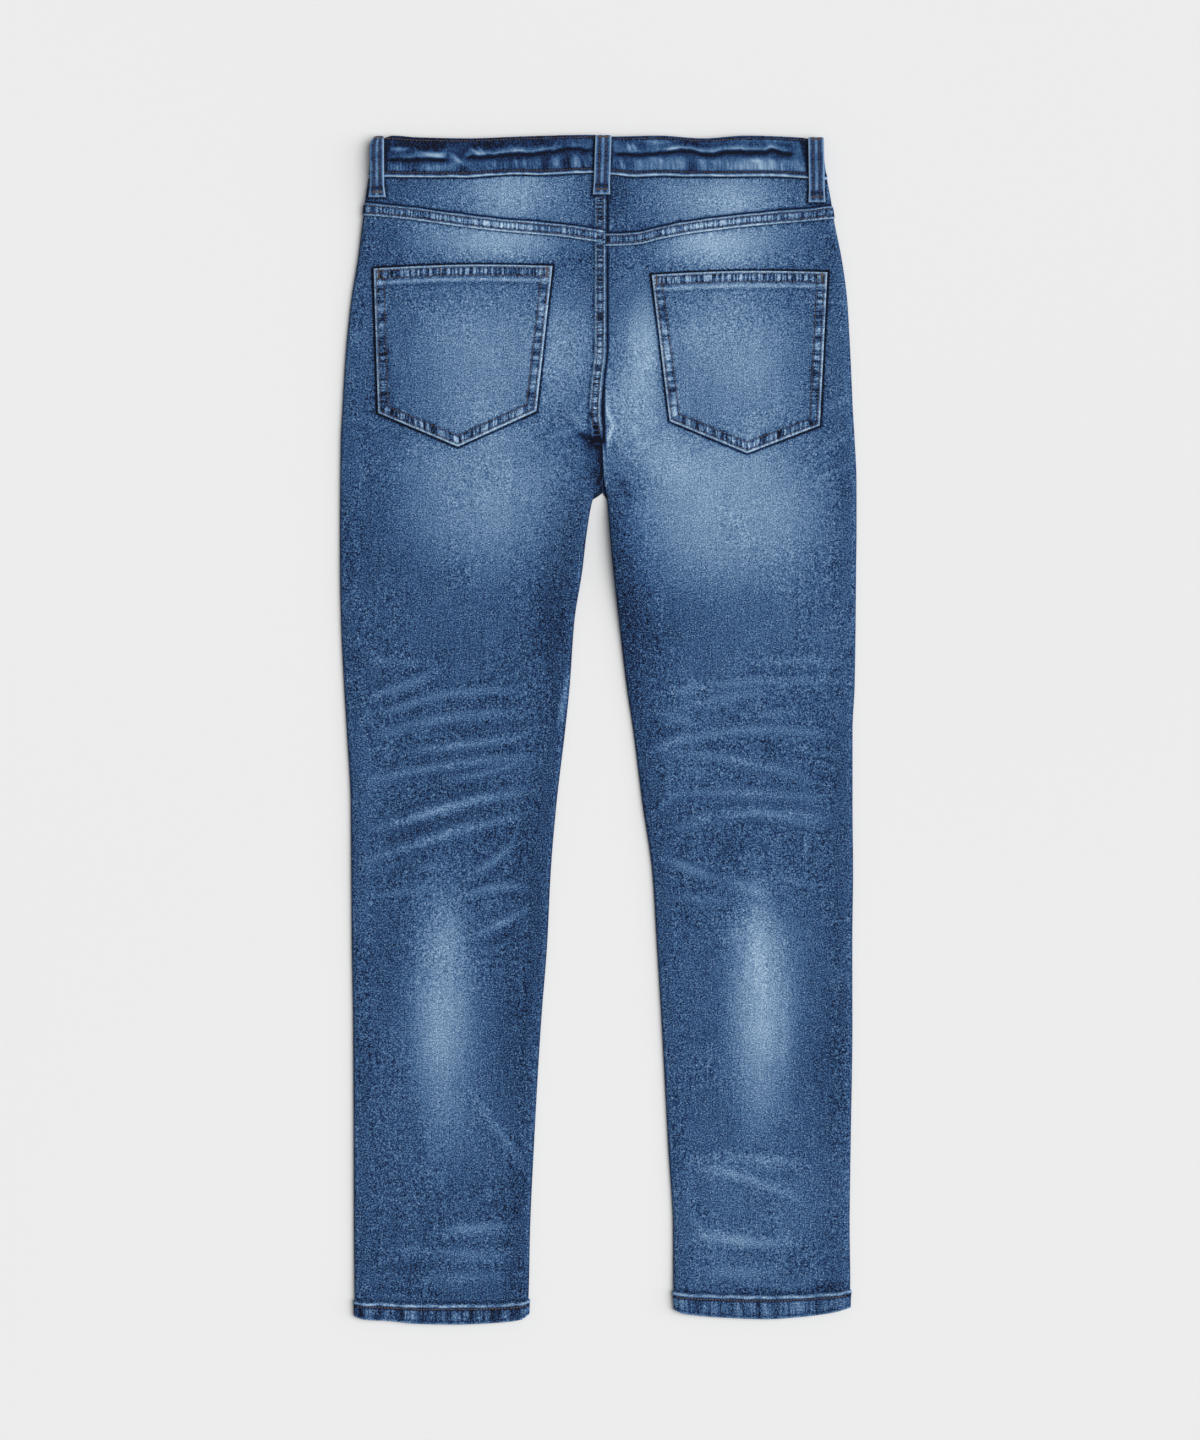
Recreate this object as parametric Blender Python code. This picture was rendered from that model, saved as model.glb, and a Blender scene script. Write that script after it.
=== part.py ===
"""Skinny jeans laid flat on their front, with the back side up.

The waist points along +Y, the wearer's right side along +X and the back of the
garment along +Z. The origin lies on the floor, at the middle of the outline.
Every cut piece is a closed wall of cloth: points of the side that shows, and the
same points moved in by the wall. Lengths down the garment are drops from the
highest point of the waist.
"""

import math
from typing import NamedTuple

import bmesh
import bpy
import numpy as np

# Driving sizes, in metres.
LENGTH = 1.069
HALF_LENGTH = LENGTH / 2
CLOTH = 0.0012
SEAM_GAP = 0.0003
SIDE_GAP = 0.0005
LAY_GAP = 0.0004

# The folded side edges of the legs.
BACK_ROLL = 0.0035
FRONT_ROLL = 0.0030
ROLL_ANGLE = math.radians(50)
SEAM_LIFT = 0.0008
SEAM_LIFT_INSET = 0.009
SEAM_LIFT_WIDTH = 0.008

# Lapped seams and hems: how far each stands up and how wide it is.
FELL_RISE = 0.0010
CENTRE_FELL_WIDTH = 0.0085
YOKE_FELL_WIDTH = 0.0105
FELL_STEP = 0.0013
HEM_DEPTH = 0.0175
HEM_RISE = 0.0012

# The waistband, a flattened ring that laps at the centre front.
BAND_WALL = 0.0018
BAND_UNDERSIDE = 0.0021
BAND_TOP = 0.0081
BAND_DEPTH = 0.0345
BAND_LAP_OUTER = 0.018
BAND_LAP_INNER = -0.022
BAND_LAP_LIFT = 0.0021
FRONT_CENTRE_X = 0.0040
FRONT_SIDE_DROP = 0.0035
WAIST_HALF = 0.2045
FRONT_DIP = 0.010

# Belt loops, patch pockets and the button.
LOOP_WIDTH = 0.0150
LOOP_WALL = 0.0020
FRONT_LOOP_WALL = 0.0018
FRONT_LOOP_X = 0.098
POCKET_HEM = 0.0100
POCKET_HEM_RISE = 0.0010
BUTTON_RADIUS = 0.0085
BUTTON_HEIGHT = 0.0018
BUTTON_X = 0.004
BUTTON_DROP = 0.031

# The centre back seam runs straight down to here.
CENTRE_SEAM_X = 0.0062
CENTRE_STRAIGHT_END = 0.190

# The drops over which the inner edges of the legs turn from a seam into an open
# fold, the centre lap fades, and the front's inner edge leaves the centre front.
CROTCH_OPENS = (0.292, 0.334)
CENTRE_LAP_FADES = (0.262, 0.292)
FRONT_CROTCH_OPENS = (0.318, 0.350)
FRONT_CROTCH = (0.319, 0.330)

# Drops where the panels start and where their rows follow a seam or the hem.
YOKE_TOP = 0.038
YOKE_SIDE_DROP = 0.0738
LEG_TOP = 0.082
FRONT_TOP = 0.047
FRONT_ROWS_LEVEL = 0.100
HEM_SHAPES_FROM = 0.950
FRONT_HEM_REACH = (0.070, 0.076)

# Plain columns of faces across each panel, between its closer ones.
LEG_COLUMNS = 7
FRONT_COLUMNS = 2


class Section(NamedTuple):
    """The four side edges of the two legs at one drop. Above the crotch the inner
    edges meet on the centre back seam."""

    drop: float
    left_outer: float
    left_inner: float
    right_inner: float
    right_outer: float


SECTIONS = (
    Section(0.000, -0.1990, CENTRE_SEAM_X, CENTRE_SEAM_X, 0.1985),
    Section(0.022, -0.2052, CENTRE_SEAM_X, CENTRE_SEAM_X, 0.2031),
    Section(0.042, -0.2068, CENTRE_SEAM_X, CENTRE_SEAM_X, 0.2062),
    Section(0.060, -0.2092, CENTRE_SEAM_X, CENTRE_SEAM_X, 0.2095),
    Section(0.076, -0.2114, CENTRE_SEAM_X, CENTRE_SEAM_X, 0.2119),
    Section(0.113, -0.2163, CENTRE_SEAM_X, CENTRE_SEAM_X, 0.2193),
    Section(0.147, -0.2220, CENTRE_SEAM_X, CENTRE_SEAM_X, 0.2238),
    Section(0.190, -0.2267, CENTRE_SEAM_X, CENTRE_SEAM_X, 0.2264),
    Section(0.222, -0.2289, 0.0031, 0.0031, 0.2279),
    Section(0.247, -0.2302, 0.0012, 0.0012, 0.2290),
    Section(0.274, -0.2316, 0.0036, 0.0036, 0.2306),
    Section(0.307, -0.2321, 0.0048, 0.0048, 0.2322),
    Section(0.328, -0.2323, -0.0052, 0.0077, 0.2323),
    Section(0.356, -0.2324, -0.0102, 0.0099, 0.2323),
    Section(0.391, -0.2323, -0.0143, 0.0132, 0.2319),
    Section(0.436, -0.2314, -0.0214, 0.0184, 0.2315),
    Section(0.495, -0.2286, -0.0257, 0.0254, 0.2306),
    Section(0.535, -0.2262, -0.0298, 0.0314, 0.2287),
    Section(0.600, -0.2227, -0.0375, 0.0396, 0.2287),
    Section(0.663, -0.2222, -0.0428, 0.0486, 0.2292),
    Section(0.726, -0.2217, -0.0459, 0.0526, 0.2285),
    Section(0.800, -0.2205, -0.0516, 0.0571, 0.2286),
    Section(0.909, -0.2200, -0.0579, 0.0629, 0.2270),
    Section(0.984, -0.2198, -0.0613, 0.0672, 0.2261),
    Section(1.040, -0.2192, -0.0624, 0.0674, 0.2266),
    Section(1.060, -0.2186, -0.0630, 0.0686, 0.2258),
)


class Level(NamedTuple):
    """Heights over the floor at one drop: the back's face, the side seams, and the
    front's underside."""

    drop: float
    back: float
    side_seam: float
    front: float


LEVELS = (
    Level(0.000, 0.0077, 0.0048, 0.0025),
    Level(0.036, 0.0076, 0.0046, 0.0025),
    Level(0.052, 0.0075, 0.0043, 0.0025),
    Level(0.068, 0.0067, 0.0038, 0.0016),
    Level(0.090, 0.0057, 0.0031, 0.0000),
    Level(0.130, 0.0047, 0.0023, 0.0000),
    Level(0.200, 0.0039, 0.0020, 0.0000),
    Level(0.300, 0.0036, 0.0020, 0.0000),
    Level(0.450, 0.0034, 0.0020, 0.0000),
    Level(0.620, 0.0038, 0.0020, 0.0000),
    Level(0.800, 0.0034, 0.0020, 0.0000),
    Level(1.000, 0.0035, 0.0020, 0.0000),
    Level(1.040, 0.0043, 0.0028, 0.0000),
    Level(1.070, 0.0046, 0.0030, 0.0000),
)


class Mark(NamedTuple):
    """One point of a seam or an edge that runs across the garment."""

    x: float
    drop: float


WAIST_EDGE = (
    Mark(-0.200, 0.0035), Mark(-0.191, 0.0007), Mark(-0.168, 0.0023), Mark(-0.120, 0.0032),
    Mark(-0.072, 0.0015), Mark(-0.007, 0.0000), Mark(0.013, 0.0015), Mark(0.056, 0.0007),
    Mark(0.097, 0.0032), Mark(0.137, 0.0007), Mark(0.185, 0.0023), Mark(0.200, 0.0045),
)
WAIST_SEAM = (
    Mark(-0.207, 0.0380), Mark(-0.168, 0.0382), Mark(-0.120, 0.0385), Mark(-0.075, 0.0358),
    Mark(-0.048, 0.0362), Mark(-0.004, 0.0342), Mark(0.014, 0.0360), Mark(0.034, 0.0380),
    Mark(0.056, 0.0371), Mark(0.089, 0.0377), Mark(0.154, 0.0376), Mark(0.185, 0.0390),
    Mark(0.206, 0.0406),
)
YOKE_SEAM_LEFT = (
    Mark(-0.211, 0.0724), Mark(-0.196, 0.0735), Mark(-0.178, 0.0751), Mark(-0.160, 0.0773),
    Mark(-0.124, 0.0824), Mark(-0.088, 0.0866), Mark(-0.052, 0.0897), Mark(-0.034, 0.0913),
    Mark(-0.009, 0.0949), Mark(0.008, 0.0976),
)
YOKE_SEAM_RIGHT = (
    Mark(0.007, 0.0996), Mark(0.020, 0.0995), Mark(0.037, 0.0981), Mark(0.056, 0.0935),
    Mark(0.074, 0.0901), Mark(0.092, 0.0873), Mark(0.110, 0.0851), Mark(0.128, 0.0829),
    Mark(0.164, 0.0796), Mark(0.182, 0.0781), Mark(0.212, 0.0752),
)
HEM_LEFT = (
    Mark(-0.2185, 1.0620), Mark(-0.2100, 1.0646), Mark(-0.1870, 1.0660), Mark(-0.1650, 1.0683),
    Mark(-0.1280, 1.0690), Mark(-0.0910, 1.0674), Mark(-0.0690, 1.0645), Mark(-0.0630, 1.0600),
)
HEM_RIGHT = (
    Mark(0.0690, 1.0560), Mark(0.0762, 1.0593), Mark(0.1140, 1.0629), Mark(0.1510, 1.0642),
    Mark(0.1806, 1.0623), Mark(0.2103, 1.0584), Mark(0.2256, 1.0540),
)


class Fold(NamedTuple):
    """A soft ridge, or a trough where height is under zero, bowed towards the hem by
    bow at its middle."""

    x: float
    drop: float
    end_x: float
    end_drop: float
    bow: float
    width: float
    height: float


BACK_FOLDS_LEFT = (
    Fold(-0.204, 0.501, -0.134, 0.470, 0.004, 0.009, 0.0009),
    Fold(-0.173, 0.508, -0.058, 0.500, 0.003, 0.008, 0.0008),
    Fold(-0.190, 0.529, -0.072, 0.519, 0.004, 0.009, 0.0012),
    Fold(-0.175, 0.553, -0.070, 0.540, 0.003, 0.008, 0.0011),
    Fold(-0.176, 0.574, -0.064, 0.556, 0.003, 0.008, 0.0012),
    Fold(-0.160, 0.611, -0.066, 0.588, 0.003, 0.009, 0.0016),
    Fold(-0.180, 0.637, -0.076, 0.612, 0.003, 0.009, 0.0014),
    Fold(-0.206, 0.655, -0.164, 0.643, 0.002, 0.008, 0.0009),
    Fold(-0.114, 0.663, -0.078, 0.641, 0.002, 0.008, 0.0010),
    Fold(-0.204, 0.679, -0.150, 0.673, 0.002, 0.008, 0.0008),
    Fold(-0.118, 0.684, -0.060, 0.678, 0.004, 0.008, 0.0012),
    Fold(-0.112, 0.716, -0.070, 0.700, 0.003, 0.008, 0.0013),
    Fold(-0.110, 0.728, -0.074, 0.712, 0.003, 0.006, -0.0008),
    Fold(-0.030, 0.500, -0.039, 0.531, 0.000, 0.007, 0.0008),
    Fold(-0.107, 0.875, -0.069, 0.926, 0.000, 0.009, 0.0010),
    Fold(-0.198, 1.004, -0.086, 1.003, -0.002, 0.010, 0.0009),
    Fold(-0.024, 0.250, -0.006, 0.300, 0.000, 0.007, -0.0009),
)
BACK_FOLDS_RIGHT = (
    Fold(0.152, 0.472, 0.190, 0.470, 0.002, 0.009, 0.0006),
    Fold(0.124, 0.495, 0.197, 0.485, 0.002, 0.009, 0.0008),
    Fold(0.066, 0.521, 0.176, 0.510, -0.003, 0.009, 0.0009),
    Fold(0.052, 0.551, 0.112, 0.541, 0.002, 0.008, 0.0008),
    Fold(0.074, 0.570, 0.158, 0.562, 0.003, 0.008, 0.0009),
    Fold(0.070, 0.591, 0.150, 0.594, -0.003, 0.009, 0.0010),
    Fold(0.094, 0.615, 0.201, 0.616, -0.010, 0.009, 0.0012),
    Fold(0.062, 0.649, 0.110, 0.664, 0.000, 0.008, 0.0010),
    Fold(0.066, 0.683, 0.110, 0.691, 0.000, 0.008, 0.0009),
    Fold(0.078, 0.924, 0.188, 0.927, 0.004, 0.010, 0.0008),
    Fold(0.136, 0.942, 0.176, 0.956, 0.000, 0.009, 0.0010),
    Fold(0.086, 0.982, 0.142, 0.993, 0.003, 0.009, 0.0011),
)
BAND_FOLDS = (
    Fold(-0.163, 0.0234, -0.134, 0.0225, 0.000, 0.0025, -0.0007),
    Fold(-0.122, 0.0200, -0.004, 0.0140, 0.000, 0.0028, -0.0009),
    Fold(0.013, 0.0155, 0.186, 0.0185, -0.001, 0.0028, -0.0009),
    Fold(-0.122, 0.0150, -0.004, 0.0090, 0.000, 0.0030, 0.0005),
    Fold(0.013, 0.0105, 0.186, 0.0135, -0.001, 0.0030, 0.0005),
)


class PocketCut(NamedTuple):
    """A patch pocket: its mouth's ends, its lower corners and its point."""

    name: str
    mouth_outer: Mark
    mouth_inner: Mark
    foot_outer: Mark
    foot_inner: Mark
    point: Mark


POCKETS = (
    PocketCut(
        "left", Mark(-0.2020, 0.1200), Mark(-0.0413, 0.1177),
        Mark(-0.1980, 0.2495), Mark(-0.0558, 0.2479), Mark(-0.1264, 0.2799),
    ),
    PocketCut(
        "right", Mark(0.2058, 0.1233), Mark(0.0479, 0.1257),
        Mark(0.1990, 0.2607), Mark(0.0640, 0.2568), Mark(0.1338, 0.2857),
    ),
)
POCKET_BOW = 0.0022


class LoopCut(NamedTuple):
    """A belt loop on the back, from its head at the waist's edge to its foot."""

    name: str
    head: Mark
    foot: Mark


BACK_LOOPS = (
    LoopCut("belt_loop_left", Mark(-0.1978, 0.0012), Mark(-0.1985, 0.0560)),
    LoopCut("belt_loop_centre", Mark(0.0046, 0.0006), Mark(0.0028, 0.0535)),
    LoopCut("belt_loop_right", Mark(0.1954, 0.0025), Mark(0.1962, 0.0605)),
)


class LoopRise(NamedTuple):
    """Height of a back loop's inner side over the floor, along its length."""

    share: float
    height: float


LOOP_RISES = (
    LoopRise(0.00, 0.0085), LoopRise(0.20, 0.0091), LoopRise(0.42, 0.0096),
    LoopRise(0.62, 0.0093), LoopRise(0.76, 0.0090), LoopRise(0.88, 0.0089),
    LoopRise(1.00, 0.0087),
)


class Zone(NamedTuple):
    """A stretch of a leg, down to end, cut into this many rows of faces."""

    end: float
    rows: int


BACK_ZONES = (
    Zone(0.115, 3), Zone(0.190, 3), Zone(0.235, 2), Zone(0.345, 7), Zone(0.460, 4), Zone(0.730, 26),
    Zone(0.860, 4), Zone(1.030, 9), Zone(1.0475, 1), Zone(1.0490, 1), Zone(1.0660, 2),
)
FRONT_ZONES = (
    Zone(0.100, 4), Zone(0.300, 4), Zone(0.355, 5), Zone(0.500, 2), Zone(0.730, 4),
    Zone(1.030, 3), Zone(1.0475, 1), Zone(1.0490, 1), Zone(1.0660, 1),
)


class Finish(NamedTuple):
    """A plain surface: linear colour, roughness and metallic share."""

    colour: tuple[float, float, float]
    roughness: float
    metallic: float


DENIM_BACK = Finish((0.105, 0.190, 0.345), 0.85, 0.0)
DENIM_FRONT = Finish((0.075, 0.145, 0.290), 0.85, 0.0)
DENIM_YOKE = Finish((0.150, 0.250, 0.410), 0.85, 0.0)
DENIM_BAND = Finish((0.055, 0.110, 0.225), 0.85, 0.0)
DENIM_POCKET = Finish((0.135, 0.235, 0.395), 0.85, 0.0)
DENIM_LOOP = Finish((0.090, 0.160, 0.290), 0.85, 0.0)
BRASS = Finish((0.420, 0.300, 0.170), 0.35, 1.0)


def clear_scene() -> None:
    """Removes every object that the scene starts with."""
    for obj in list(bpy.data.objects):
        bpy.data.objects.remove(obj, do_unlink=True)


def smooth_line(stations, values, at):
    """A cubic through the stations that never swings past their values."""
    stations = np.asarray(stations, float)
    values = np.asarray(values, float)
    at = np.clip(np.asarray(at, float), stations[0], stations[-1])
    rates = np.diff(values) / np.diff(stations)
    pairs = rates[:-1] * rates[1:]
    both = np.where(pairs > 0, rates[:-1] + rates[1:], 1.0)
    turns = np.where(pairs > 0, 2 * pairs / both, 0.0)
    slopes = np.concatenate([rates[:1], turns, rates[-1:]])
    low = np.clip(np.searchsorted(stations, at, side="right") - 1, 0, len(stations) - 2)
    span = stations[low + 1] - stations[low]
    t = (at - stations[low]) / span
    return (
        (1 + 2 * t) * (1 - t) ** 2 * values[low]
        + t * (1 - t) ** 2 * span * slopes[low]
        + t * t * (3 - 2 * t) * values[low + 1]
        + t * t * (t - 1) * span * slopes[low + 1]
    )


def eased(at, start, end):
    """Goes smoothly from 0 at start to 1 at end."""
    t = np.clip((np.asarray(at, float) - start) / (end - start), 0.0, 1.0)
    return t * t * (3 - 2 * t)


def column(table, name):
    """One named column of a table."""
    return [getattr(row, name) for row in table]


def edge_at(name, drop):
    """Where a leg's side edge is at this drop."""
    return smooth_line(column(SECTIONS, "drop"), column(SECTIONS, name), drop)


def level_at(name, drop):
    """A height over the floor at this drop."""
    return smooth_line(column(LEVELS, "drop"), column(LEVELS, name), drop)


def mark_drop(marks, x):
    """The drop of a seam or an edge at this x."""
    return smooth_line(column(marks, "x"), column(marks, "drop"), x)


def fold_height(folds, x, drop):
    """The height that the folds add at each point."""
    total = np.zeros(np.broadcast(x, drop).shape)
    for fold in folds:
        along = np.array([fold.end_x - fold.x, fold.end_drop - fold.drop])
        length = np.hypot(*along)
        along = along / length
        run = (x - fold.x) * along[0] + (drop - fold.drop) * along[1]
        share = np.clip(run / length, 0.0, 1.0)
        aside = (drop - fold.drop) * along[0] - (x - fold.x) * along[1]
        aside = aside - fold.bow * 4 * share * (1 - share)
        past = run - share * length
        distance = np.hypot(aside, past) / fold.width
        taper = 0.35 + 0.65 * np.sin(math.pi * np.clip(share, 0.0, 1.0))
        total = total + fold.height * taper * np.exp(-distance * distance)
    return total


def face_normals(points, facing):
    """Unit normals of a grid of points. facing is +1 where they point up on the
    whole, and -1 where they point down."""
    down = np.gradient(points, axis=0)
    across = np.gradient(points, axis=1)
    normals = np.cross(down, across)
    normals /= np.linalg.norm(normals, axis=2, keepdims=True)
    return normals * np.sign(normals[..., 2].sum()) * facing


def turn_rim(normals, index, share, outward):
    """Turns an edge column's normals level and outward by share, which is 1 on a
    folded edge and 0 at a seam, where they stand upright across."""
    upright = normals[:, index] * (0.0, 1.0, 1.0)
    level = np.zeros(upright.shape)
    level[:, 0] = outward
    mixed = upright * (1 - share)[:, None] + level * share[:, None]
    normals[:, index] = mixed / np.linalg.norm(mixed, axis=1, keepdims=True)


def add_object(name, mesh, finish):
    """Links an object with its own material to the scene."""
    material = bpy.data.materials.new(name)
    material.use_nodes = True
    shader = material.node_tree.nodes["Principled BSDF"]
    shader.inputs["Base Color"].default_value = (*finish.colour, 1.0)
    shader.inputs["Roughness"].default_value = finish.roughness
    shader.inputs["Metallic"].default_value = finish.metallic
    mesh.materials.append(material)
    mesh.shade_smooth()
    mesh.set_sharp_from_angle(angle=math.radians(50))
    obj = bpy.data.objects.new(name, mesh)
    bpy.context.scene.collection.objects.link(obj)
    return obj


def cloth_wall(name, shown, hidden, finish):
    """A closed wall between the points of its shown side and of its hidden side."""
    rows, columns = shown.shape[:2]
    mesh = bpy.data.meshes.new(name)
    shape = bmesh.new()
    sides = [
        [[shape.verts.new(point) for point in row] for row in side]
        for side in (shown, hidden)
    ]
    for side, grid in enumerate(sides):
        for i in range(rows - 1):
            for j in range(columns - 1):
                corners = (grid[i][j], grid[i][j + 1], grid[i + 1][j + 1], grid[i + 1][j])
                shape.faces.new(corners if side == 0 else corners[::-1])
    rim = [(0, j) for j in range(columns)]
    rim += [(i, columns - 1) for i in range(1, rows)]
    rim += [(rows - 1, j) for j in range(columns - 2, -1, -1)]
    rim += [(i, 0) for i in range(rows - 2, 0, -1)]
    for (i, j), (k, m) in zip(rim, rim[1:] + rim[:1]):
        shape.faces.new((sides[0][i][j], sides[1][i][j], sides[1][k][m], sides[0][k][m]))
    bmesh.ops.recalc_face_normals(shape, faces=shape.faces)
    shape.to_mesh(mesh)
    shape.free()
    return add_object(name, mesh, finish)


def place(x, drop, z):
    """Points from x, the drop and the height."""
    x, drop, z = np.broadcast_arrays(x, drop, z)
    return np.stack([x, HALF_LENGTH - drop, z], axis=-1)


def row_drops(top, zones):
    """The drops of a leg's rows, from its top down through its zones."""
    drops = [top]
    for zone in zones:
        step = (zone.end - drops[-1]) / zone.rows
        drops += [drops[-1] + step * (k + 1) for k in range(zone.rows)]
    return np.array(drops)


def leg_columns(outer, inner, roll, interior):
    """Each row's x values, from the outer edge to the inner one. There are close
    columns where the edges roll and beside the centre seam's lap."""
    toward = np.sign(inner - outer)
    turn = roll * (1 - math.cos(ROLL_ANGLE))
    lap = CENTRE_FELL_WIDTH + FELL_STEP
    starts = [outer + toward * inset for inset in (0.0, turn, roll)]
    ends = [inner - toward * inset for inset in (lap, CENTRE_FELL_WIDTH, roll, turn, 0.0)]
    middle = [
        starts[-1] + (ends[0] - starts[-1]) * k / (interior + 1)
        for k in range(1, interior + 1)
    ]
    return np.stack(starts + middle + ends, axis=-1)


def rolled(inset, roll):
    """The share of its full height that a rolled edge has at this inset."""
    return np.sqrt(1 - (1 - np.clip(inset / roll, 0.0, 1.0)) ** 2)


class LegSide(NamedTuple):
    """What tells the left half of the garment from the right."""

    name: str
    outer: str
    inner: str
    yoke_seam: tuple
    hem: tuple
    folds: tuple
    gap_side: int
    lapped: bool


LEG_SIDES = (
    LegSide("left", "left_outer", "left_inner", YOKE_SEAM_LEFT, HEM_LEFT, BACK_FOLDS_LEFT, -1, True),
    LegSide("right", "right_outer", "right_inner", YOKE_SEAM_RIGHT, HEM_RIGHT, BACK_FOLDS_RIGHT, 1, False),
)


def back_height(side, x, drop):
    """The height of the back's face, before laps and hems are raised on it."""
    outer_inset = np.abs(x - edge_at(side.outer, drop))
    inner_inset = np.abs(x - edge_at(side.inner, drop) - side.gap_side * SEAM_GAP / 2)
    opened = eased(drop, *CROTCH_OPENS)
    lift = SEAM_LIFT * (
        np.exp(-(((outer_inset - SEAM_LIFT_INSET) / SEAM_LIFT_WIDTH) ** 2))
        + opened * np.exp(-(((inner_inset - SEAM_LIFT_INSET) / SEAM_LIFT_WIDTH) ** 2))
    )
    edge = level_at("side_seam", drop)
    rise = level_at("back", drop) + lift + fold_height(side.folds, x, drop) - edge
    outer_roll = rolled(outer_inset, BACK_ROLL)
    inner_roll = 1 - opened * (1 - rolled(inner_inset, BACK_ROLL))
    return edge + rise * outer_roll * inner_roll


def back_columns(side, outer_drops, inner_drops):
    """The x values of the back's rows, whose ends are at these drops."""
    outer = edge_at(side.outer, outer_drops)
    inner = edge_at(side.inner, inner_drops) + side.gap_side * SEAM_GAP / 2
    return leg_columns(outer, inner, BACK_ROLL, LEG_COLUMNS)


def back_face(side, x, drop):
    """Points of the back's face and their normals, from the side seam to the inner
    edge."""
    plain = place(x, drop, back_height(side, x, drop))
    normals = face_normals(plain, 1)
    turn_rim(normals, 0, np.ones(len(x)), side.gap_side)
    turn_rim(normals, -1, eased(drop[:, -1], *CROTCH_OPENS), -side.gap_side)
    return plain, normals


def lap_rise(side, x, drop):
    """The raised lap beside the centre back seam, which ends at the crotch."""
    if not side.lapped:
        return np.zeros(x.shape)
    inset = np.abs(x - edge_at(side.inner, drop) - side.gap_side * SEAM_GAP / 2)
    across = 1 - eased(inset, CENTRE_FELL_WIDTH, CENTRE_FELL_WIDTH + FELL_STEP)
    return FELL_RISE * across * (1 - eased(drop, *CENTRE_LAP_FADES))


def back_leg(side):
    """One back leg, from the yoke seam to its hem."""
    drops = row_drops(LEG_TOP, BACK_ZONES)
    base = drops[:, None]
    near_yoke = 1 - eased(base, LEG_TOP, CENTRE_STRAIGHT_END)
    x = back_columns(side, drops + near_yoke[:, 0] * (YOKE_SIDE_DROP - LEG_TOP), drops)
    near_hem = eased(base, HEM_SHAPES_FROM, drops[-1])
    drop = base + near_yoke * (mark_drop(side.yoke_seam, x) + SEAM_GAP / 2 - LEG_TOP)
    drop = drop + near_hem * (mark_drop(side.hem, x) - drops[-1])
    plain, normals = back_face(side, x, drop)
    hem_rise = HEM_RISE * eased(base, drops[-1] - HEM_DEPTH - FELL_STEP, drops[-1] - HEM_DEPTH)
    rise = lap_rise(side, x, drop) + hem_rise
    shown = plain + normals * rise[..., None]
    return cloth_wall(f"back_leg_{side.name}", shown, plain - normals * CLOTH, DENIM_BACK)


def yoke(side):
    """One half of the yoke, with the lap of the yoke seam along its lower edge."""
    x = back_columns(side, [YOKE_TOP], [YOKE_TOP])
    seam_x = back_columns(side, [YOKE_SIDE_DROP], [LEG_TOP])
    upper = mark_drop(WAIST_SEAM, x) + SEAM_GAP / 2
    lower = mark_drop(side.yoke_seam, seam_x) - SEAM_GAP / 2
    lap_top = lower - YOKE_FELL_WIDTH
    rows = [upper, (upper + lap_top - FELL_STEP) / 2, lap_top - FELL_STEP, lap_top, lower]
    drop = np.concatenate(rows)
    share = (drop - upper) / (lower - upper)
    x = x + (seam_x - x) * share
    plain, normals = back_face(side, x, drop)
    lap = FELL_RISE * np.array([0.0, 0.0, 0.0, 1.0, 1.0])[:, None]
    shown = plain + normals * np.maximum(lap, lap_rise(side, x, drop))[..., None]
    return cloth_wall(f"yoke_{side.name}", shown, plain - normals * CLOTH, DENIM_YOKE)


def front_edge(side, drop):
    """The front leg's inner edge: the centre front down to the crotch, which lies
    lower than the back's, then the inseam."""
    centre = side.gap_side * SEAM_GAP / 2 + FRONT_CENTRE_X
    inseam = edge_at(side.inner, drop)
    return centre + (inseam - centre) * eased(drop, *FRONT_CROTCH)


def front_leg(side):
    """One front leg, whose shown side is the flat underside."""
    drops = row_drops(FRONT_TOP, FRONT_ZONES)
    base = drops[:, None]
    near_waist = 1 - eased(base, FRONT_TOP, FRONT_ROWS_LEVEL)
    outer = edge_at(side.outer, drops + near_waist[:, 0] * (YOKE_TOP - FRONT_TOP))
    inner = front_edge(side, drops)
    x = leg_columns(outer, inner, FRONT_ROLL, FRONT_COLUMNS)
    waist = front_waist_edge(x) + BAND_DEPTH + SEAM_GAP / 2
    drop = base + near_waist * (waist - FRONT_TOP)
    near_hem = eased(base, HEM_SHAPES_FROM, drops[-1])
    drop = drop + near_hem * (mark_drop(side.hem, x) - drops[-1])
    outer_roll = rolled(np.abs(x - outer[:, None]), FRONT_ROLL)
    opened = eased(base, *FRONT_CROTCH_OPENS)
    inner_roll = 1 - opened * (1 - rolled(np.abs(x - inner[:, None]), FRONT_ROLL))
    flat = level_at("front", drop)
    edge = level_at("side_seam", drop) - SIDE_GAP
    plain = place(x, drop, edge + (flat - edge) * outer_roll * inner_roll)
    normals = face_normals(plain, -1)
    turn_rim(normals, 0, np.ones(len(x)), side.gap_side)
    turn_rim(normals, -1, eased(drops, *FRONT_CROTCH_OPENS), -side.gap_side)
    hem_rise = HEM_RISE * eased(base, drops[-1] - HEM_DEPTH - FELL_STEP, drops[-1] - HEM_DEPTH)
    inside = 1 - eased(np.abs(x - (outer + inner)[:, None] / 2), *FRONT_HEM_REACH)
    hidden = plain - normals * (CLOTH + hem_rise * inside)[..., None]
    return cloth_wall(f"front_leg_{side.name}", plain, hidden, DENIM_FRONT)


def front_waist_edge(x):
    """The drop of the waistband's upper edge on the front, which falls to the
    centre."""
    return FRONT_SIDE_DROP + FRONT_DIP * (1 - np.abs(x - FRONT_CENTRE_X) / WAIST_HALF)


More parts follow.
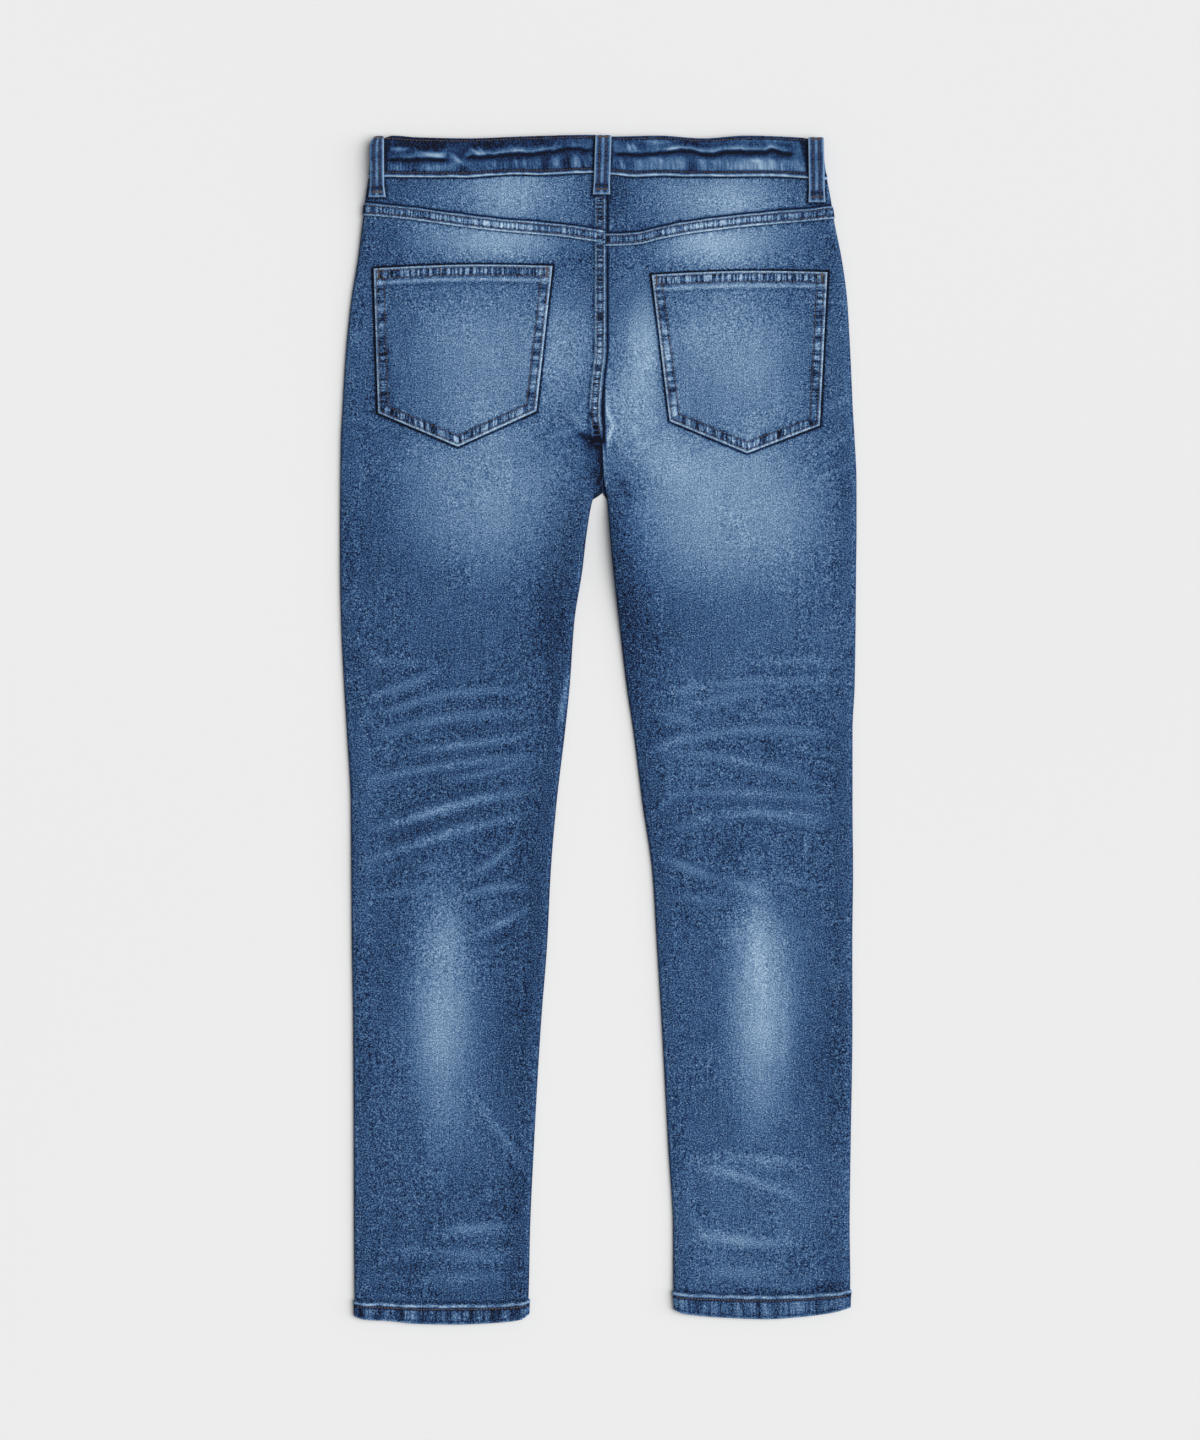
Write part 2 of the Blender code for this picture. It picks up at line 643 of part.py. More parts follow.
def band_path():
    """The waistband's outer side as a path of (x, height), from the end that laps
    underneath, round the left side, over the back and round the right side."""
    radius = (BAND_TOP - BAND_UNDERSIDE) / 2
    middle = (BAND_TOP + BAND_UNDERSIDE) / 2
    left, right = (float(edge_at(side.outer, YOKE_TOP)) for side in LEG_SIDES)
    halves = [back_columns(side, [YOKE_TOP], [YOKE_TOP])[0] for side in LEG_SIDES]
    over_back = [x for x in halves[0][2:-1] if x > left + radius]
    over_back += [CENTRE_SEAM_X]
    over_back += [x for x in halves[1][-2:1:-1] if x < right - radius]
    turns = np.radians([-90, -60, -30, 0, 30, 60, 90])
    raised = BAND_UNDERSIDE + BAND_LAP_LIFT
    path = [(BAND_LAP_OUTER, BAND_UNDERSIDE)]
    path += [(left * share, BAND_UNDERSIDE) for share in (0.0, 0.35, 0.65)]
    path += [(left + radius * (1 - math.cos(a)), middle + radius * math.sin(a)) for a in turns]
    path += [(x, BAND_TOP) for x in over_back]
    path += [(right - radius * (1 - math.cos(a)), middle + radius * math.sin(a)) for a in turns[::-1]]
    path += [(right * share, BAND_UNDERSIDE) for share in (0.65, 0.35, 0.17)]
    path += [(0.023, raised), (0.0, raised), (BAND_LAP_INNER, raised)]
    return np.array(path)


def waistband():
    """The waistband: a flattened ring, lapped at the centre front, with the
    lengthwise folds on its back."""
    path = band_path()
    shares = np.array([0.0, 0.08, 0.19, 0.29, 0.38, 0.47, 0.58, 0.78, 1.0])
    x, height = path[:, :1], path[:, 1:]
    on_back = eased(height, BAND_UNDERSIDE + BAND_LAP_LIFT, BAND_TOP)
    top = on_back * mark_drop(WAIST_EDGE, x) + (1 - on_back) * front_waist_edge(x)
    foot = on_back * (mark_drop(WAIST_SEAM, x) - SEAM_GAP / 2)
    foot = foot + (1 - on_back) * (front_waist_edge(x) + BAND_DEPTH - SEAM_GAP / 2)
    drop = top + (foot - top) * shares
    taper = [edge_at(side.outer, drop) / edge_at(side.outer, YOKE_TOP) for side in LEG_SIDES]
    plain = place(x * np.where(x < 0, taper[0], taper[1]), drop, height)
    along = np.gradient(path, axis=0)
    normals = np.stack([-along[:, 1], np.zeros(len(path)), along[:, 0]], axis=-1)
    normals /= np.linalg.norm(normals, axis=1, keepdims=True)
    normals = np.repeat(normals[:, None], len(shares), axis=1)
    folds = fold_height(BAND_FOLDS, plain[..., 0], drop) * (height > BAND_TOP - 1e-6)
    shown = plain + normals * folds[..., None]
    return cloth_wall("waistband", shown, plain - normals * BAND_WALL, DENIM_BAND)


def strip(name, centre_x, drop, width, inner_z, outer_z, finish):
    """A narrow folded strip along the length, with its long edges a little thinner."""
    across = np.array([-0.5, -0.36, 0.36, 0.5])
    round_off = np.array([0.35, 0.0, 0.0, 0.35])
    x = centre_x[:, None] + width[:, None] * across
    drop = np.repeat(drop[:, None], len(across), axis=1)
    thickness = (outer_z - inner_z)[:, None] * (1 - round_off)
    shown = place(x, drop, inner_z[:, None] + thickness)
    hidden = place(x, drop, np.repeat(inner_z[:, None], len(across), axis=1))
    return cloth_wall(name, shown, hidden, finish)


def back_loop(loop):
    """A belt loop on the back, arched over the waistband down to the yoke."""
    share = np.array([0.0, 0.06, 0.20, 0.42, 0.62, 0.72, 0.80, 0.88, 0.95, 1.0])
    centre_x = loop.head.x + (loop.foot.x - loop.head.x) * share
    drop = loop.head.drop + (loop.foot.drop - loop.head.drop) * share
    width = LOOP_WIDTH * (1 + 0.08 * eased(share, 0.8, 1.0))
    inner_z = smooth_line(column(LOOP_RISES, "share"), column(LOOP_RISES, "height"), share)
    return strip(loop.name, centre_x, drop, width, inner_z, inner_z + LOOP_WALL, DENIM_LOOP)


def front_loop(side):
    """A belt loop on the front, between the waistband and the floor."""
    share = np.array([0.0, 0.1, 0.5, 0.9, 1.0])
    head = float(front_waist_edge(FRONT_LOOP_X)) + 0.001
    drop = head + (BAND_DEPTH + 0.010) * share
    centre_x = np.full(len(share), side.gap_side * FRONT_LOOP_X)
    width = np.full(len(share), LOOP_WIDTH)
    inner_z = np.full(len(share), FRONT_LOOP_WALL)
    return strip(
        f"front_belt_loop_{side.name}", centre_x, drop, width, inner_z, inner_z * 0, DENIM_LOOP
    )


def back_pocket(side, cut):
    """A patch pocket, laid on the back leg's face and moved out from it."""
    shares = np.array([0.0, 0.035, 0.14, 0.28, 0.42, 0.50, 0.60, 0.74, 0.87, 0.965, 1.0])
    point = (cut.point.x - cut.foot_outer.x) / (cut.foot_inner.x - cut.foot_outer.x)
    mouth = cut.mouth_outer.drop + (cut.mouth_inner.drop - cut.mouth_outer.drop) * shares
    mouth = mouth - POCKET_BOW * np.sin(math.pi * shares)
    foot = np.interp(
        shares, [0.0, point, 1.0], [cut.foot_outer.drop, cut.point.drop, cut.foot_inner.drop]
    )
    length = foot - mouth
    lap = POCKET_HEM / length
    step = FELL_STEP / length
    rows = [lap * 0, lap, lap + step]
    rows += [lap + step + (1 - lap - step) * k for k in (0.17, 0.34, 0.51, 0.68, 0.84, 1.0)]
    down = np.stack(rows)
    drop = mouth + length * down
    outer = cut.mouth_outer.x + (cut.foot_outer.x - cut.mouth_outer.x) * down
    inner = cut.mouth_inner.x + (cut.foot_inner.x - cut.mouth_inner.x) * down
    x = outer + (inner - outer) * shares
    plain = place(x, drop, back_height(side, x, drop))
    normals = face_normals(plain, 1)
    rise = np.where(np.arange(len(rows)) < 2, POCKET_HEM_RISE, 0.0)[:, None]
    hidden = plain + normals * LAY_GAP
    shown = hidden + normals * (CLOTH + rise * np.ones(x.shape))[..., None]
    return cloth_wall(f"back_pocket_{side.name}", shown, hidden, DENIM_POCKET)


def waist_button():
    """The waist button: a low turned dome under the waistband's lapped end."""
    mesh = bpy.data.meshes.new("waist_button")
    shape = bmesh.new()
    top = BUTTON_HEIGHT
    profile = [
        (0.0, 0.0), (0.55, 0.0), (0.88, 0.12), (1.0, 0.45), (0.97, 0.75), (0.80, 1.0), (0.0, 1.0),
    ]
    verts = [shape.verts.new((BUTTON_RADIUS * r, 0.0, top * z)) for r, z in profile]
    edges = [shape.edges.new(pair) for pair in zip(verts, verts[1:])]
    bmesh.ops.spin(
        shape, geom=verts + edges, cent=(0, 0, 0), axis=(0, 0, 1),
        angle=math.tau, steps=20, use_merge=True,
    )
    bmesh.ops.remove_doubles(shape, verts=shape.verts, dist=1e-6)
    bmesh.ops.recalc_face_normals(shape, faces=shape.faces)
    shape.to_mesh(mesh)
    shape.free()
    button = add_object("waist_button", mesh, BRASS)
    button.location = (BUTTON_X, HALF_LENGTH - BUTTON_DROP, 0.0)
    return button


def build_jeans():
    """Builds every cut piece, from the floor up."""
    clear_scene()
    for side, cut in zip(LEG_SIDES, POCKETS):
        front_leg(side)
        back_leg(side)
        yoke(side)
        back_pocket(side, cut)
        front_loop(side)
    waistband()
    for loop in BACK_LOOPS:
        back_loop(loop)
    waist_button()


build_jeans()
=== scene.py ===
"""Dresses the skinny jeans, laid flat with the back side up.

Every cut piece is a closed wall of denim over its own solid, with its creases,
seam puckers and fades, and every seam has its sewing. The tables and the formulas
are in millimetres: x to the wearer's right, and drop down from the highest point of
the waist. Meshes are turned into metres where they are made. A tone is how light the
denim's colour is, on the 0 to 255 scale of its green. Above and below are distances
from a piece's foot and from its head, an inset is one from its edge, and a leg's base is
the drop before the waist and the hem shape it. In the yoke, the waistband and the loops
a share runs from 0 at the head to 1 at the foot.
"""

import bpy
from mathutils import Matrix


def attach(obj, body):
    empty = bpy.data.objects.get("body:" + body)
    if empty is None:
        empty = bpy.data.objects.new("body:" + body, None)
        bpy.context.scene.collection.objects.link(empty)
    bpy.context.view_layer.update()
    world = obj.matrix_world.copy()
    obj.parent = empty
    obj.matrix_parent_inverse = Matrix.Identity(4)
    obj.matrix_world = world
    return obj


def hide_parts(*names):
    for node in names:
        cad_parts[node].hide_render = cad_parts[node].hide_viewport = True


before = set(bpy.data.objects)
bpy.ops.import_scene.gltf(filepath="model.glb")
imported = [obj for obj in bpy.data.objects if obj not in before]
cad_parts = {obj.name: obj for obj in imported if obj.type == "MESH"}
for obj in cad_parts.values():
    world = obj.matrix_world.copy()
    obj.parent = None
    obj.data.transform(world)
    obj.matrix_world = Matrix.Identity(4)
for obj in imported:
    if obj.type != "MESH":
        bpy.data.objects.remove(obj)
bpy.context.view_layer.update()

import logging
import math
from dataclasses import dataclass, field
from enum import Enum
from typing import NamedTuple, Optional, Sequence

import bpy
import numpy as np

Array = np.ndarray

LOG = logging.getLogger("jeans")
MM = 0.001

# The pattern's driving sizes.
HALF_LENGTH = 534.5
HIP_WIDTH = 226
CLOTH = 1.2
SEAM_GAP = 0.3
SIDE_GAP = 0.5
LAY_GAP = 0.4
EDGE_ROUND = 0.5
BACK_ROLL = 3.5
FRONT_ROLL = 3.0
SEAM_LIFT = 0.8
SEAM_LIFT_INSET = 9.0
SEAM_LIFT_WIDTH = 8.0
FELL_RISE = 1.0
FELL_STEP = 1.3
CENTRE_FELL = 8.5
YOKE_FELL = 10.5
HEM_DEPTH = 19.0
HEM_STITCH = 4.1
HEM_RISE = 1.2
HEM_END = 1066.0
HEM_SIDES_DROP = 1050.0
CENTRE_STRAIGHT_END = 190.0
CENTRE_ROWS = (2.1, 6.6)
CENTRE_WEAR_AND_SHADE_FADES = (272.0, 292.0)
LADDER_PITCH = 4.4
NARROWED = 8.0
CROTCH_OPENS = (292.0, 334.0)
CENTRE_LAP_FADES = (262.0, 292.0)
FRONT_CROTCH_OPENS = (318.0, 350.0)
FRONT_CROTCH = (321.0, 327.5)
YOKE_TOP = 38.0
YOKE_SIDE_DROP = 73.8
LEG_TOP = 82.0
FRONT_TOP = 47.0
FRONT_ROWS_LEVEL = 100.0
FRONT_SIDE_DROP = 3.5
FRONT_DIP = 10.0
FRONT_CENTRE_X = 4.0
WAIST_HALF = 204.5
HEM_SHAPES_FROM = 950.0

# The ends of the denim's scale of tones, the tone of plain insides, how strongly the
# fades show, and what keeps the distance to a pocket's rim over 0.
DARKEST_TONE = 20.0
LIGHTEST_TONE = 215.0
INSIDE_TONE = 88.0
FADE_STRENGTH = 1.08
RIM_OFFSET = 20.0


class Side(Enum):
    """The wearer's side of the garment, and the sign of its x."""

    LEFT = -1
    RIGHT = 1

    @property
    def label(self) -> str:
        """The side's word in the pieces' names."""
        return self.name.lower()


CROTCH_SWELL = {Side.LEFT: 0.8, Side.RIGHT: 2.2}
CROTCH_LIFT = {Side.LEFT: 3.2, Side.RIGHT: 6.0}
HEM_DEPTHS = {Side.LEFT: 17.6, Side.RIGHT: 20.8}
HEM_TONES = {Side.LEFT: -6.0, Side.RIGHT: 0.0}


class Slot(Enum):
    """The record's material slots of the cloth."""

    DENIM = "denim"
    BAND = "waistband_denim"


class Section(NamedTuple):
    """The side edges of both legs at one drop."""

    drop: float
    left_outer: float
    left_inner: float
    right_inner: float
    right_outer: float


SECTIONS = (
    Section(0, -199.0, 6.2, 6.2, 198.5), Section(22, -205.2, 6.2, 6.2, 203.1),
    Section(42, -206.8, 6.2, 6.2, 206.2), Section(60, -209.2, 6.2, 6.2, 209.5),
    Section(76, -211.4, 6.2, 6.2, 211.9), Section(113, -216.3, 6.2, 6.2, 219.3),
    Section(147, -222.0, 6.2, 6.2, 223.8), Section(190, -226.7, 6.2, 6.2, 226.4),
    Section(222, -228.9, 3.1, 3.1, 227.9), Section(247, -230.2, 1.2, 1.2, 229.0),
    Section(274, -231.6, 3.6, 3.6, 230.6), Section(307, -232.1, 4.8, 4.8, 232.2),
    Section(328, -232.3, -5.2, 7.7, 232.3), Section(356, -232.4, -10.2, 9.9, 232.3),
    Section(391, -232.3, -14.3, 13.2, 231.9), Section(436, -231.4, -21.4, 18.4, 231.5),
    Section(495, -228.6, -25.7, 25.4, 230.6), Section(535, -226.2, -29.8, 31.4, 228.7),
    Section(600, -222.7, -37.5, 39.6, 228.7), Section(663, -222.2, -42.8, 48.6, 229.2),
    Section(726, -221.7, -45.9, 52.6, 228.5), Section(800, -220.5, -51.6, 57.1, 228.6),
    Section(909, -220.0, -57.9, 62.9, 227.0), Section(984, -219.8, -61.3, 67.2, 226.1),
    Section(1040, -219.2, -62.4, 67.4, 226.6), Section(1060, -218.6, -63.0, 68.6, 225.8),
)


class Level(NamedTuple):
    """Heights over the floor at one drop: back face, side seams, front underside."""

    drop: float
    back: float
    side_seam: float
    front: float


LEVELS = (
    Level(0, 7.7, 4.8, 2.5), Level(36, 7.6, 4.6, 2.5), Level(52, 7.5, 4.3, 2.5),
    Level(68, 6.7, 3.8, 1.6), Level(90, 5.7, 3.1, 0.0), Level(130, 4.7, 2.3, 0.0),
    Level(200, 3.9, 2.0, 0.0), Level(300, 3.6, 2.0, 0.0), Level(450, 3.4, 2.0, 0.0),
    Level(620, 3.8, 2.0, 0.0), Level(800, 3.4, 2.0, 0.0), Level(1000, 3.5, 2.0, 0.0),
    Level(1040, 4.3, 2.8, 0.0), Level(1070, 4.6, 3.0, 0.0),
)


class Mark(NamedTuple):
    """A point of a seam or an edge."""

    x: float
    drop: float


WAIST_EDGE = (
    Mark(-200, 3.5), Mark(-191, 0.7), Mark(-168, 2.3), Mark(-120, 3.2), Mark(-72, 1.5), Mark(-7, 0),
    Mark(13, 1.5), Mark(56, 0.7), Mark(97, 3.2), Mark(137, 0.7), Mark(185, 2.3), Mark(200, 4.5),
)
WAIST_SEAM = (
    Mark(-207, 38.0), Mark(-168, 38.2), Mark(-120, 38.5), Mark(-75, 35.8), Mark(-48, 36.2),
    Mark(-4, 34.2), Mark(14, 36.0), Mark(34, 38.0), Mark(56, 37.1), Mark(89, 37.7),
    Mark(154, 37.6), Mark(185, 39.0), Mark(206, 40.6),
)
YOKE_SEAM_LEFT = (
    Mark(-211, 72.4), Mark(-196, 73.5), Mark(-178, 75.1), Mark(-160, 77.3), Mark(-124, 82.4),
    Mark(-88, 86.6), Mark(-52, 89.7), Mark(-34, 91.3), Mark(-9, 94.9), Mark(8, 97.6),
)
YOKE_SEAM_RIGHT = (
    Mark(7, 99.6), Mark(20, 99.5), Mark(37, 98.1), Mark(56, 93.5), Mark(74, 90.1),
    Mark(92, 87.3), Mark(110, 85.1), Mark(128, 82.9), Mark(164, 79.6), Mark(182, 78.1),
    Mark(212, 75.2),
)
HEM_LEFT = (
    Mark(-218.5, 1062.0), Mark(-210, 1064.6), Mark(-187, 1066.0), Mark(-165, 1068.3),
    Mark(-128, 1069.0), Mark(-91, 1067.4), Mark(-69, 1064.5), Mark(-63, 1060.0),
)
HEM_RIGHT = (
    Mark(69, 1056.0), Mark(76.2, 1059.3), Mark(114, 1062.9), Mark(151, 1064.2),
    Mark(180.6, 1062.3), Mark(210.3, 1058.4), Mark(225.6, 1054.0),
)
HEM_EDGES = {Side.LEFT: HEM_LEFT, Side.RIGHT: HEM_RIGHT}


class Crease(NamedTuple):
    """A soft ridge, or a trough where height is under zero. It bows towards the hem by bow, and its crest is
    lighter by tone. A trough's tone is under zero and darkens it as painted shade."""

    x: float
    drop: float
    end_x: float
    end_drop: float
    bow: float
    width: float
    height: float
    tone: float


CREASES_LEFT = (
    Crease(-208, 469, -149, 473, 3, 7.0, 0.6, 14), Crease(-204, 503, -142, 479, 3, 7.0, 0.9, 26),
    Crease(-190, 518, -164, 510, 1, 5.0, 0.4, 12), Crease(-194, 520, -62, 501, -9, 6.5, 0.9, 26),
    Crease(-192, 536, -62, 518, -4, 7.0, 1.1, 24), Crease(-205, 541, -176, 536, 1, 5.0, 0.4, 12),
    Crease(-175, 553, -126, 549, 2, 6.0, 0.6, 8), Crease(-160, 552, -66, 540, 1, 6.0, 1.0, 32),
    Crease(-205, 580, -62, 559, -3, 6.5, 1.1, 30), Crease(-138, 580, -68, 563, 2, 5.5, 0.7, 24),
    Crease(-172, 617, -132, 604, 1, 6.0, 0.6, 14), Crease(-198, 623, -68, 590, -3, 7.0, 1.5, 44),
    Crease(-208, 653, -70, 612, -3, 7.0, 1.3, 40), Crease(-206, 664, -164, 643, 2, 6.5, 0.8, 14),
    Crease(-168, 658, -136, 657, 1, 6.0, 0.6, 14), Crease(-116, 666, -76, 636, 2, 6.5, 1.0, 30),
    Crease(-204, 682, -150, 675, 2, 6.5, 0.8, 18), Crease(-122, 683, -64, 676, -3, 6.0, 1.1, 34),
    Crease(-110, 717, -66, 696, 2, 6.0, 1.2, 34), Crease(-108, 729, -74, 711, 3, 5.0, -0.8, -16),
    Crease(-28, 484, -35, 530, 0, 4.5, 0.8, 46), Crease(-107, 875, -69, 926, -2, 6.0, 0.9, 26),
    Crease(-118, 858, -100, 880, 0, 6.0, 0.5, 12), Crease(-150, 986, -70, 979, -1, 6.5, 0.8, 22),
    Crease(-196, 1004, -78, 1008, -2, 7.0, 0.8, 16), Crease(-158, 1026, -84, 1024, 2, 7.0, 0.6, 14),
    Crease(-200, 1036, -130, 1042, 1, 5.0, -0.5, -14), Crease(-196, 1018, -150, 1016, 1, 5.0, -0.4, -12),
    Crease(-222, 250, -196, 262, 2, 7.0, 0.5, 8), Crease(-226, 300, -190, 306, 2, 7.0, 0.4, 6),
    # Beside the crotch.
    Crease(-26, 248, -13, 262, 0, 5.0, 0.9, 30), Crease(-44, 270, -19, 264, 0, 5.0, 0.5, 18),
    Crease(-17, 268, 2, 280, 1.0, 4.6, -1.6, -16), Crease(-6.6, 254, 2.4, 277, 0, 3.6, -1.2, -12),
    Crease(2.0, 279, 3.0, 306, 0, 3.4, -0.7, -30), Crease(-1, 292, -1, 320, 0, 5.5, -0.4, -22),
)
CREASES_RIGHT = (
    Crease(118, 474, 214, 473, -1, 7.0, 0.6, 16), Crease(72, 501, 214, 491, -5, 7.0, 0.8, 20),
    Crease(72, 500, 92, 492, 0, 6.5, 0.6, 16), Crease(70, 517, 158, 502, -4, 6.5, 0.9, 20),
    Crease(56, 520, 92, 530, 0, 6.5, 0.9, 20), Crease(134, 522, 180, 516, 1, 6.5, 0.7, 16),
    Crease(52, 553, 212, 541, -12, 7.0, 0.9, 24), Crease(50, 552, 84, 540, -2, 6.5, 0.8, 20),
    Crease(56, 555, 190, 580, -6, 6.5, 0.9, 22), Crease(76, 568, 102, 576, 1, 6.0, 0.7, 18),
    Crease(118, 563, 160, 566, 3, 6.5, 0.6, 6), Crease(68, 592, 196, 597, -3, 7.5, 1.0, 20),
    Crease(54, 606, 74, 590, -2, 6.0, 0.8, 16), Crease(80, 624, 168, 613, -10, 7.0, 1.0, 13),
    Crease(72, 622, 112, 609, -2, 6.0, 0.8, 20),
    Crease(116, 611, 210, 616, -4, 7.0, 1.0, 22), Crease(60, 650, 98, 666, 0, 6.5, 1.0, 30),
    Crease(98, 666, 146, 672, 2, 6.5, 0.6, 12), Crease(120, 675, 150, 682, 0, 6.5, 0.8, 24),
    Crease(66, 685, 120, 689, 0, 6.5, 0.9, 18), Crease(149, 613, 202, 622, -1, 6.5, 0.8, 18),
    Crease(155, 666, 200, 680, -3, 7.0, 0.7, 16), Crease(66, 560, 60, 600, 0, 6.0, 0.4, 8),
    Crease(78, 918, 188, 926, -3, 7.0, 0.8, 20), Crease(82, 926, 178, 956, -4, 6.5, 1.0, 28),
    Crease(84, 972, 98, 992, 0, 6.5, 1.0, 20), Crease(92, 988, 170, 996, 3, 7.0, 1.1, 22),
    Crease(96, 1021, 150, 1023, 1, 7.0, 0.6, 14), Crease(90, 1034, 210, 1040, 2, 5.5, -0.5, -12),
    Crease(196, 284, 230, 262, 2, 7.0, 0.6, 12), Crease(192, 312, 231, 292, 2, 7.0, 0.5, 11),
    Crease(186, 250, 226, 236, 1, 7.0, 0.4, 8), Crease(204, 560, 228, 548, 1, 7.0, 0.5, 8),
    # Beside the crotch.
    Crease(6.0, 236, 13, 261, 1.5, 2.8, 0.6, 62), Crease(13.4, 260, 7.5, 282, 1.0, 2.8, 0.6, 66),
    Crease(14, 304, 26, 322, 0, 8.0, -0.4, -14), Crease(187, 1035, 220, 1031, 3, 5.0, -0.4, -30),
)


class Crevice(NamedTuple):
    """A deep narrow fold that no light gets into, and how dark it is, up to 1."""

    x: float
    drop: float
    end_x: float
    end_drop: float
    width: float
    depth: float


CREVICES = {
    Side.LEFT: (
        Crevice(-16.5, 268.7, -5.7, 274.4, 2.1, 0.72), Crevice(-6.0, 274.4, 2.2, 279.0, 3.8, 1.0),
        Crevice(-7.5, 249.3, -2.4, 262.0, 1.5, 0.70), Crevice(-2.4, 262.0, 1.6, 275.0, 2.7, 0.98),
        Crevice(2.4, 279.0, 2.8, 290.0, 2.1, 1.0), Crevice(2.8, 290.0, 3.8, 306.0, 1.6, 1.0),
        Crevice(3.6, 304.0, 0.0, 313.0, 2.0, 0.90), Crevice(-9.0, 273.0, 0.5, 284.0, 7.0, 0.34),
    ),
    Side.RIGHT: (Crevice(4.9, 227.0, 5.2, 262.0, 1.2, 0.94), Crevice(5.2, 262.0, 4.4, 276.0, 1.1, 0.94)),
}
CREASES_BAND = (
    Crease(-190, 12.4, -174, 12.8, 0.4, 2.4, 0.5, 50), Crease(-166, 15.0, -138, 16.8, 1.6, 2.6, 0.6, 46),
    Crease(-134, 18.0, -119, 28.0, 0.0, 2.6, 0.6, 44), Crease(-117, 12.0, -107, 18.0, 0.0, 2.2, 0.4, 46),
    Crease(-112, 9.0, -104, 17.0, 0.0, 1.8, 0.3, 34), Crease(-84, 21.5, -64, 21.0, 0.0, 1.8, -0.4, -22),
    Crease(27, 8.0, 30, 15.0, 0.0, 1.8, 0.3, 44), Crease(31, 8.5, 34, 14.0, 0.0, 1.6, 0.3, 40),
    Crease(18, 20.0, 24, 33.0, 0.0, 2.0, 0.4, 30), Crease(46, 20.8, 54, 20.4, 0.0, 1.8, 0.3, 46),
    Crease(61, 13.0, 73, 12.6, 0.0, 2.2, 0.3, 36), Crease(136, 22.6, 148, 23.4, 0.4, 2.0, 0.4, 22),
    Crease(158, 33.0, 172, 34.5, 0.0, 2.0, 0.4, 36), Crease(-18, 17.0, -12, 33.0, 0.0, 2.2, -0.4, -30),
    Crease(40, 5.5, 64, 7.0, 0.0, 2.4, 0.2, 18), Crease(150, 5.0, 178, 6.0, 0.0, 2.4, 0.2, 16),
)


class FoldMark(NamedTuple):
    """A point of a long fold of the waistband, and how raised and worn the ridge
    above it is there."""

    x: float
    drop: float
    ridge: float


BAND_FOLDS = (
    (
        FoldMark(-193, 23.2, 0.1), FoldMark(-178, 22.8, 0.4), FoldMark(-160, 22.6, 0.9),
        FoldMark(-142, 22.9, 1.0), FoldMark(-134, 23.6, 0.3),
    ),
    (
        FoldMark(-121, 21.2, 0.3), FoldMark(-114, 20.4, 0.7), FoldMark(-97, 20.0, 0.9),
        FoldMark(-78, 18.0, 1.0), FoldMark(-62, 17.5, 1.0), FoldMark(-50, 16.6, 0.7),
        FoldMark(-36, 14.4, 0.3), FoldMark(-27, 12.6, 0.2), FoldMark(-18, 12.6, 0.2),
        FoldMark(-12.5, 14.2, 0.2), FoldMark(-4, 12.6, 0.1),
    ),
    (
        FoldMark(13, 17.1, 0.1), FoldMark(39, 18.0, 0.2), FoldMark(60, 16.6, 0.3), FoldMark(70, 15.6, 0.7),
        FoldMark(78, 14.8, 1.0), FoldMark(85, 15.3, 1.0), FoldMark(95, 17.6, 0.9), FoldMark(104, 18.0, 0.8),
        FoldMark(118, 15.8, 0.9), FoldMark(135, 15.8, 0.8), FoldMark(152, 16.2, 0.9),
        FoldMark(158, 14.4, 1.0),
        FoldMark(168, 16.8, 0.4), FoldMark(180, 17.0, 0.0),
    ),
)


class Fade(NamedTuple):
    """A worn or a darker patch of the tone: its middle, half sizes, what it adds to the tone, and how flat
    its middle is. Some dark ones are painted shade."""

    x: float
    drop: float
    half_x: float
    half_drop: float
    tone: float
    flatness: float = 1.0


